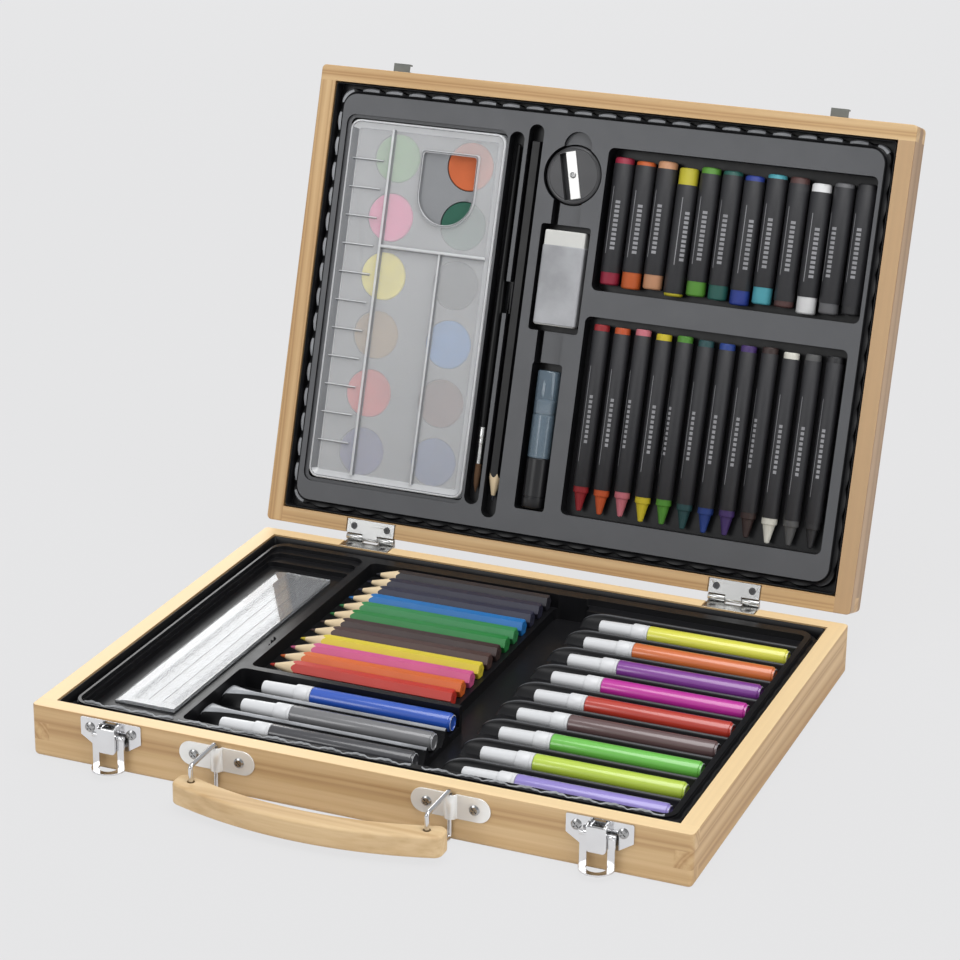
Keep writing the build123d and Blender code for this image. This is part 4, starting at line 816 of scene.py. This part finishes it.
pastel_colours = [
    (140, 30, 54), (180, 84, 34), (184, 134, 100), (176, 166, 40), (80, 134, 46), (32, 84, 76),
    (34, 54, 132), (70, 148, 160), (74, 48, 46), (205, 205, 205), (92, 92, 94), (38, 38, 40),
]
pastel_shift = (1.0, 0.2, 1.4, -0.6, 0.8, 0.3, -0.8, 1.0, 0.9, -0.9, 0.4, 1.2)
pastel_turn = (0, 0.1, -0.15, 0.5, 0.05, -0.1, 0.3, -0.05, 0, 0.2, -0.4, -0.2)
pastel_places = [
    (10.0 + 10.83 * i, 22.4 + pastel_shift[i], -8.0, pastel_turn[i]) for i in range(STICKS)
]
pastel_low = (6.0, 8.0, 7.0, 1.5, 7.0, 7.0, 7.0, 8.0, 3.0, 8.0, 5.0, 4.0)
pastel_high = (3.0, 2.0, 3.5, 8.0, 3.0, 2.0, 2.5, 2.0, 3.0, 4.0, 2.0, 3.0)
wrapped_sticks(
    "pastel", "pastels", pastel_colours, pastel_places,
    [(0, 3.6), (0.3, 4.3), (0.9, 4.65), (60.1, 4.65), (60.7, 4.3), (61.0, 3.6)],
    4.65, [(low, 61.0 - high) for low, high in zip(pastel_low, pastel_high)],
    (15.0, 47.0), (17.0, 11, 2.2, 26),
)
crayon_colours = [
    (138, 30, 36), (180, 76, 34), (180, 100, 110), (190, 172, 34), (70, 126, 40), (30, 66, 68),
    (30, 56, 122), (62, 42, 96), (50, 36, 34), (206, 204, 194), (78, 78, 78), (36, 36, 38),
]
crayon_shift = (0.6, 0.3, 0.9, 0.0, 0.4, -0.3, -0.5, -0.1, 0.5, -0.6, -0.1, 0.2)
crayon_turn = (0, 0.05, -0.4, 0.1, -0.6, -0.2, -0.1, 0.02, -0.5, 0, 0.05, -0.1)
crayon_places = [
    (10.2 + 10.48 * i, -86.4 + crayon_shift[i], -5.7, crayon_turn[i]) for i in range(STICKS)
]
wrapped_sticks(
    "crayon", "crayons", crayon_colours, crayon_places,
    [
        (0, 0.7), (0.4, 1.2), (8.4, 2.95), (8.8, 3.1), (9.0, 3.55), (9.4, 3.75),
        (89.5, 3.75), (90.0, 3.3),
    ],
    3.75, [(12.0, 87.0)] * STICKS, (24.0, 70.0), (33.0, 10, 2.4, 22),
)

# The paint box, its tablets and the frosted palette over them
grey_tray = plastic("paint_tray_grey", linear(118, 120, 123), 0.35, vary=0.05, bump=0.08)
dress(grey_tray, "paint_tray")
soften(0.4, "paint_tray")
tablet_colours = [
    (60, 58, 128), (204, 48, 44), (150, 116, 56), (238, 222, 52), (236, 98, 160), (108, 160, 92),
    (60, 84, 140), (104, 60, 52), (52, 126, 188), (72, 74, 78), (38, 88, 72), (186, 92, 50),
]
tablet_profile = [
    (0, 11.4), (0.3, 11.75), (3.9, 11.75), (4.3, 11.3), (4.2, 10.4), (4.0, 9.0), (4.1, 3.0),
]
middle_x, middle_y, half_apart, pitch = -86.3, -0.9, 19.3, 29.0
cakes, cake_paints = Bag(), []
for i, colour in enumerate(tablet_colours):
    side = -1 if i < 6 else 1
    x = middle_x + side * half_apart
    y = middle_y + (i % 6 - 2.5) * pitch
    name = "paint_cake_%d" % i
    cake_paints.append(plastic(name, linear(*colour), 0.8, vary=0.14, grain=260, bump=0.5))
    place = Matrix.Translation((x, y, -8.8)) @ Matrix.Rotation(-pi / 2, 4, "Y")
    cakes.turned(tablet_profile, i, place, 56)
piece("paint_tablet_set", "paints", LID, cakes, cake_paints, ["paint_tablets"])

frosted = plastic(
    "palette_frosted", linear(218, 219, 220), 0.3, vary=0.02, grain=1500, bump=0.2, scuff=0.05,
    Alpha=0.3,
)
frost_edge = plastic(
    "palette_edge", linear(222, 223, 225), 0.12, vary=0.02, grain=300, bump=0.05, scuff=0.03,
    Alpha=0.55, Coat_Weight=1.0, Coat_Roughness=0.05,
)
# A darker grey painted as shade on the palette's flanks, rib sides and edge lines.
frost_shade = plastic(
    "palette_painted_shade", linear(108, 110, 113), 0.2, vary=0.03, grain=300, bump=0.05, Alpha=0.6
)
X0, X1 = -90.35 - 41.1, -90.35 + 41.1
Y0, Y1 = -0.2 - 88.9, -0.2 + 88.9
FLOOR_LOW, FLOOR_HIGH, RIM_TOP = -4.2, -3.4, -1.6
FLANK = 3.4
bag = Bag()
# Each level of the rim is (inset from the outline, height).
levels = (
    (0.0, FLOOR_LOW), (0.0, RIM_TOP - 0.4), (0.25, RIM_TOP - 0.08), (0.6, RIM_TOP),
    (1.0, RIM_TOP - 0.1), (1.3, RIM_TOP - 0.5), (FLANK, FLOOR_HIGH + 0.25),
    (4.0, FLOOR_HIGH - 0.05), (4.2, FLOOR_LOW + 0.1), (0.4, FLOOR_LOW),
)
rings = []
for inset, z in levels + levels[:1]:
    outline = rounded(X0 + inset, X1 - inset, Y0 + inset, Y1 - inset, max(0.6, 5.0 - inset), 6)
    rings.append([(x, y, z) for x, y in outline])
# The rim's inner slope carries a line of painted shade.
bag.rings(rings, [0, 0, 0, 0, 1, 0, 0, 0, 0, 0], caps=False)
# The left side's inner flank gets painted shade.
for band in (5, 6):
    for i in range(12, 15):
        bag.paints[band * len(outline) + i] = 1


def rib(bag, start, end, wide, top):
    """A rib with a rounded top between two points on the palette's floor, one flank in painted
    shade.
    """
    (ax, ay), (bx, by) = start, end
    low = FLOOR_HIGH - 0.3
    length = sqrt((bx - ax) ** 2 + (by - ay) ** 2)
    place = Matrix.Translation((ax, ay, 0)) @ Matrix.Rotation(atan2(by - ay, bx - ax), 4, "Z")
    rings = []
    for x in (0, length):
        ring = [(x, -wide / 2 - 0.7, low)]
        for step in range(7):
            angle = pi - pi * step / 6
            ring.append((x, wide / 2 * cos(angle), top - wide / 3 + wide / 3 * sin(angle)))
        ring.append((x, wide / 2 + 0.25, low))
        rings.append(ring)
    first = len(bag.paints)
    bag.rings(rings, [0] * 3, place)
    bag.paints[first] = 1


left_rib, right_rib, cross_rib = -108.6, -76.6, 28.2
rib(bag, (left_rib, Y0 + FLANK), (left_rib, Y1 - FLANK), 1.3, RIM_TOP)
rib(bag, (left_rib, cross_rib), (X1 - FLANK, cross_rib), 1.5, RIM_TOP)
rib(bag, (right_rib, Y0 + FLANK), (right_rib, cross_rib), 1.1, RIM_TOP - 0.2)
for i in range(11):
    y = Y1 - 19.0 - 14.0 * i
    rib(bag, (X0 + 2.6, y), (X0 + 19.0, y), 0.4, FLOOR_HIGH + 0.8)


def d_shape(grow):
    """The thumb hole's outline: flat above, round below."""
    left, right, top = -91.4 - grow, -63.4 + grow, 76.2 + grow
    radius = (right - left) / 2
    centre_y = 41.9 - grow + radius
    points = [(right - 1.5, top), (left + 1.5, top), (left + 0.4, top - 0.4), (left, top - 1.5)]
    for i in range(25):
        angle = pi + pi * i / 24
        points.append(((left + right) / 2 + radius * cos(angle), centre_y + radius * sin(angle)))
    return points + [(right, top - 1.5), (right - 0.4, top - 0.4)]


hole_levels = (
    (0.0, FLOOR_LOW), (0.0, -2.6), (0.3, -2.3), (0.9, -2.3), (1.2, -2.6), (1.4, FLOOR_HIGH - 0.2),
)
rings = [[(x, y, z) for x, y in d_shape(grow)] for grow, z in hole_levels + hole_levels[:1]]
# The hole's rim carries two lines of painted shade.
bag.rings(rings, [1, 0, 1, 0, 0, 0], caps=False)
frame_paints = [frost_edge, frost_shade]
piece("palette_frame", "palette", LID, bag, frame_paints, smooth=45)

bag = Bag()
bag.plate(rounded(X0 + 3.9, X1 - 3.9, Y0 + 3.9, Y1 - 3.9, 1.2), FLOOR_LOW, FLOOR_HIGH)
sheet = piece(
    "palette_floor", "palette", LID, bag, [frosted], ["paint_palette"],
    bevel=0.05,
)
carve(sheet, LID, [(d_shape(1.2), -8, OVER_RIM)])

# The brush and the long pencil in their slots
black_gloss = plastic(
    "black_lacquer", linear(14, 14, 15), 0.3, vary=0.05, bump=0.05, Specular_IOR_Level=0.25
)
ferrule_metal = metal("ferrule_metal", (0.70, 0.70, 0.69, 1), 0.25, brush=(1500, 1500, 60))
hair = plastic("brush_hair", linear(96, 68, 44), 0.8, vary=0.3, grain=1500, bump=0.8)
place = Matrix.Translation((-43.9, -84.75, -6.55)) @ UPRIGHT
shaft_profile = [
    (32.0, 1.9), (40.0, 2.25), (60.0, 2.6), (80.0, 2.45), (150.0, 1.35), (169.0, 1.1),
    (169.7, 0.8), (170.0, 0.3),
]
collar_profile = [
    (14.0, 1.5), (14.1, 1.68), (24.0, 1.8), (24.3, 1.95), (24.9, 1.95), (25.2, 1.82),
    (27.0, 1.85), (27.3, 2.0), (27.9, 2.0), (28.2, 1.88), (32.0, 2.05), (32.1, 1.9),
]
hair_profile = [(0.0, 0.12), (1.5, 0.6), (4.0, 1.3), (8.0, 1.62), (14.0, 1.5)]
for name, profile, material, node, slot in (
    ("brush_shaft", shaft_profile, black_gloss, "brush_handle", "brush_lacquer"),
    ("brush_collar", collar_profile, ferrule_metal, "brush_ferrule", "ferrule_metal"),
    ("brush_hairs", hair_profile, hair, "brush_tuft", "brush_hair"),
):
    bag = Bag()
    bag.turned(profile, 0, place)
    piece(name, "brush", LID, bag, [material], [node])
bag = Bag()
place = Matrix.Translation((-34.3, -87.5, -6.25)) @ UPRIGHT
graphite = plastic("graphite_lead", linear(58, 58, 62), 0.4)
pencil(bag, place, 6.3, 175.0, (2, 0, 1))
piece(
    "long_pencil", "graphite_pencil", LID, bag, [bare_wood, black_gloss, graphite],
    ["graphite_pencil"], smooth=32,
)

# The sharpener
dark_shell = plastic("sharpener_shell", linear(62, 62, 64), 0.42, vary=0.06, grain=1300, bump=0.2)
blade_metal = plastic("blade_steel", linear(206, 206, 204), 0.3, vary=0.06, bump=0.1, Metallic=0.4)
bag = Bag()
place = Matrix.Translation((COLUMN, SHARPENER_Y, -12.4)) @ Matrix.Rotation(-pi / 2, 4, "Y")
shell_profile = [
    (0, 13.4), (0.5, 14.0), (8.0, 14.0), (8.7, 13.6), (9.0, 12.9), (8.75, 12.6), (8.75, 12.3),
    (9.0, 12.0), (9.0, 3.0),
]
bag.turned(shell_profile, 0, place, 72)
shell = piece(
    "sharpener_case", "sharpener", LID, bag, [dark_shell], ["sharpener_body"],
    smooth=30,
)
turn = Matrix.Translation((COLUMN, SHARPENER_Y, 0)) @ Matrix.Rotation(radians(14), 4, "Z")
groove = [turn @ Vector((x, y, 0)) for x, y in box(-5.9, -2.5, -11.2, 11.2)]
carve(shell, LID, [([(p.x, p.y) for p in groove], -7.4, 0)])
shell.data.set_sharp_from_angle(angle=radians(30))
bag = Bag()
bag.plate(box(-2.5, 2.5, -11.5, 11.5), -3.4, -2.8, turn)
piece(
    "sharpener_edge", "sharpener", LID, bag, [blade_metal], ["sharpener_blade"],
    bevel=0.2,
)
dress(dark_pin, "sharpener_screw")

# The eraser in its plain sleeve
rubber = plastic("eraser_white", linear(200, 200, 196), 0.7, vary=0.03, grain=500, bump=0.3)
film = plastic(
    "eraser_sleeve", linear(156, 157, 160), 0.5, vary=0.2, grain=260, bump=0.5, scuff=0.1
)
eraser_x, sleeve_z = -13.45, -7.15
bag = Bag()
bag.plate(rounded(eraser_x - 10.3, eraser_x + 10.3, 0.5, 46.3, 0.8, 3), -11.95, -2.35)
piece("eraser_block", "eraser", LID, bag, [rubber], ["eraser"], bevel=0.7)
near, far = 1.0, 39.0
rings = []
for y in (near, 1.4, 18.0, 38.6, far):
    inset = 0.25 if y in (near, far) else 0.0
    outline = rounded(-10.75 + inset, 10.75 - inset, -5.25 + inset, 5.25 - inset, 1.3, 4)
    rings.append([(eraser_x + x, y, sleeve_z + z) for x, z in outline])
for y in (far, near):
    inner = rounded(-10.35, 10.35, -4.85, 4.85, 0.9, 4)
    rings.append([(eraser_x + x, y, sleeve_z + z) for x, z in inner])
rings.append(rings[0])
bag = Bag()
bag.rings(rings, [0] * (len(rings) - 1), caps=False)
piece("eraser_wrap", "eraser", LID, bag, [film], ["eraser_sleeve"], smooth=30)

# The glue stick: its black foot, the stick inside and the clear sleeve, then the clear cap
glue_black = plastic("glue_black", linear(26, 26, 28), 0.3, vary=0.05, bump=0.06)
glue_clear = plastic(
    "glue_clear", linear(104, 122, 136), 0.16, vary=0.06, bump=0.05, scuff=0.04, Alpha=0.6,
    Coat_Weight=0.8, Coat_Roughness=0.05,
)
glue_core = plastic("glue_core", linear(150, 160, 168), 0.5)
place = Matrix.Translation((-13.4, -88.1, -6.7)) @ UPRIGHT
foot_profile = [
    (0, 4.9), (0.4, 5.5), (1.0, 5.85), (5.0, 5.85), (5.2, 5.6), (5.8, 5.6), (6.0, 5.85),
    (24.2, 5.85), (24.5, 5.6), (24.5, 1.0),
]
stick_profile = [(24.6, 3.0), (24.7, 4.4), (52.0, 4.4), (52.6, 3.6)]
sleeve_profile = [
    (24.6, 4.9), (24.6, 5.6), (24.9, 5.85), (45.4, 5.85), (45.7, 5.6), (45.7, 4.9), (24.6, 4.9),
]
bag = Bag()
for profile, paint in ((foot_profile, 0), (stick_profile, 2), (sleeve_profile, 1)):
    bag.turned(profile, paint, place, 40)
glue_paints = [glue_black, glue_clear, glue_core]
piece("glue_barrel", "glue_stick", LID, bag, glue_paints, ["glue_stick_body"])
lid_profile = [
    (46.0, 4.95), (46.0, 5.7), (46.3, 5.85), (66.2, 5.85), (66.8, 5.5), (67.0, 4.8), (67.0, 0.6),
    (66.1, 0.6), (66.1, 4.9),
]
bag = Bag()
bag.turned(lid_profile, 0, place, 40)
piece("glue_cap", "glue_stick", LID, bag, [glue_clear], ["glue_stick_cap"])

# The clear ruler and its marks
clear = plastic(
    "ruler_clear", linear(232, 234, 236), 0.05, vary=0.01, grain=200, bump=0.03, scuff=0.03,
    Transmission_Weight=0.82, IOR=1.49,
)
ink = plastic("ruler_ink", linear(120, 120, 124), 0.7, Specular_IOR_Level=0.2)
left, right, near, far = -127.0, -98.0, -82.0, 78.0
low, high = -7.9, -6.4
bag = Bag()
rings = []
for y in (near, near + 0.3, far - 0.3, far):
    trim = 0.3 if y in (near, far) else 0.0
    bottom, top = low + trim / 2, high - trim / 2
    ring = [(left + trim, y, bottom), (right - trim, y, bottom), (right - trim, y, top)]
    rings.append(ring + [(left + 6.0, y, top), (left + trim, y, low + 0.75)])
bag.rings(rings, [0] * 5)
piece("clear_ruler", "ruler", BASE, bag, [clear], ["ruler"], smooth=4)
bag = Bag()
margin, half_mark = 5.0, 0.13
ink_low, ink_high = high - 0.02, high + 0.01
for i in range(151):
    y = near + margin + i
    reach = 6.0 if i % 10 == 0 else 4.4 if i % 5 == 0 else 3.0
    for edge, side in ((right - 1.0, -1), (left + 6.6, 1)):
        ends = sorted((edge, edge + side * reach))
        bag.plate(box(*ends, y - half_mark, y + half_mark), ink_low, ink_high)
for x in (left + 14.2, right - 8.2):
    bag.plate(box(x, x + 0.3, near + margin, far - margin), ink_low, ink_high)
piece("ruler_marks", "ruler", BASE, bag, [ink])

# The floor, the light and the camera
floor_mesh = bpy.data.meshes.new("floor")
floor_mesh.from_pydata([(-9, -9, 0), (9, -9, 0), (9, 9, 0), (-9, 9, 0)], [], [(0, 1, 2, 3)])
floor = bpy.data.objects.new("floor", floor_mesh)
bpy.context.scene.collection.objects.link(floor)
# The camera sees the paper mostly as even light, and shadows fall on the rest.
BACKDROP = linear(228, 228, 229)
EVEN_SHARE = 0.94
paper_white = bpy.data.materials.new("floor")
paper_white.use_nodes = True
tree = paper_white.node_tree
tree.nodes.clear()
out = tree.nodes.new("ShaderNodeOutputMaterial")
mix = tree.nodes.new("ShaderNodeMixShader")
diffuse = tree.nodes.new("ShaderNodeBsdfDiffuse")
glow = tree.nodes.new("ShaderNodeEmission")
path = tree.nodes.new("ShaderNodeLightPath")
share = tree.nodes.new("ShaderNodeMath")
share.operation = "MULTIPLY"
share.inputs[1].default_value = EVEN_SHARE
diffuse.inputs["Color"].default_value = BACKDROP
glow.inputs["Color"].default_value = BACKDROP
tree.links.new(path.outputs["Is Camera Ray"], share.inputs[0])
tree.links.new(share.outputs[0], mix.inputs["Fac"])
tree.links.new(diffuse.outputs[0], mix.inputs[1])
tree.links.new(glow.outputs[0], mix.inputs[2])
tree.links.new(mix.outputs[0], out.inputs["Surface"])
floor_mesh.materials.append(paper_white)

# The world lights the scene with an even sky, and the camera sees the backdrop's colour.
world = bpy.data.worlds.new("studio")
world.use_nodes = True
bpy.context.scene.world = world
tree = world.node_tree
sky = tree.nodes["Background"]
sky.inputs["Color"].default_value = (0.97, 0.985, 1.0, 1)
sky.inputs["Strength"].default_value = 0.5
seen = tree.nodes.new("ShaderNodeBackground")
seen.inputs["Color"].default_value = BACKDROP
path = tree.nodes.new("ShaderNodeLightPath")
either = tree.nodes.new("ShaderNodeMath")
either.operation = "MAXIMUM"
mix = tree.nodes.new("ShaderNodeMixShader")
tree.links.new(path.outputs["Is Camera Ray"], either.inputs[0])
tree.links.new(path.outputs["Is Transmission Ray"], either.inputs[1])
tree.links.new(either.outputs[0], mix.inputs["Fac"])
tree.links.new(sky.outputs[0], mix.inputs[1])
tree.links.new(seen.outputs[0], mix.inputs[2])
tree.links.new(mix.outputs[0], tree.nodes["World Output"].inputs["Surface"])


def softbox(name, place, target, size, power):
    """An area light of (width, height) in metres that the camera doesn't see."""
    light = bpy.data.lights.new(name, "AREA")
    light.shape = "RECTANGLE"
    light.size, light.size_y = size
    light.energy = power
    obj = bpy.data.objects.new(name, light)
    obj.location = place
    obj.rotation_euler = (Vector(target) - Vector(place)).to_track_quat("-Z", "Y").to_euler()
    obj.visible_camera = False
    bpy.context.scene.collection.objects.link(obj)


softbox("overhead", (0.35, -0.25, 1.7), (0, 0.05, 0.05), (1.6, 1.2), 22)
softbox("back_left", (-0.85, 1.95, 0.88), (-0.1, 0, 0.02), (1.6, 1.0), 17)
softbox("front_fill", (-0.9, -1.7, 0.9), (0, 0, 0.08), (1.0, 0.7), 7)
softbox("right_fill", (1.7, -0.6, 0.8), (0, 0.05, 0.08), (0.7, 1.2), 6)

# The camera as solved from the photo, with its place in millimetres
azimuth, elevation, roll = radians(22.097), radians(20.667), radians(0.746)
shift_x, shift_y, distance = 11.54, 102.83, 1281.5
origin_z = 1.4
sensor, focal_pixels, image_pixels = 36.0, 2852.458, 960
back = Vector((sin(azimuth) * cos(elevation), -cos(azimuth) * cos(elevation), sin(elevation)))
right = Vector((cos(azimuth), sin(azimuth), 0))
up = back.cross(right)
tilt_x = right * cos(roll) + up * sin(roll)
tilt_y = up * cos(roll) - right * sin(roll)
turn = Matrix((tilt_x, tilt_y, back)).transposed()
eye = turn @ Vector((shift_x, shift_y, distance)) + Vector((0, 0, origin_z))
camera = bpy.data.objects.new("camera", bpy.data.cameras.new("camera"))
camera.data.sensor_width = sensor
camera.data.lens = sensor * focal_pixels / image_pixels
camera.data.clip_start, camera.data.clip_end = 0.05, 30.0
camera.matrix_world = Matrix.Translation(eye * MM) @ turn.to_4x4()
bpy.context.scene.collection.objects.link(camera)
bpy.context.scene.camera = camera
bpy.context.scene.view_settings.view_transform = "Standard"
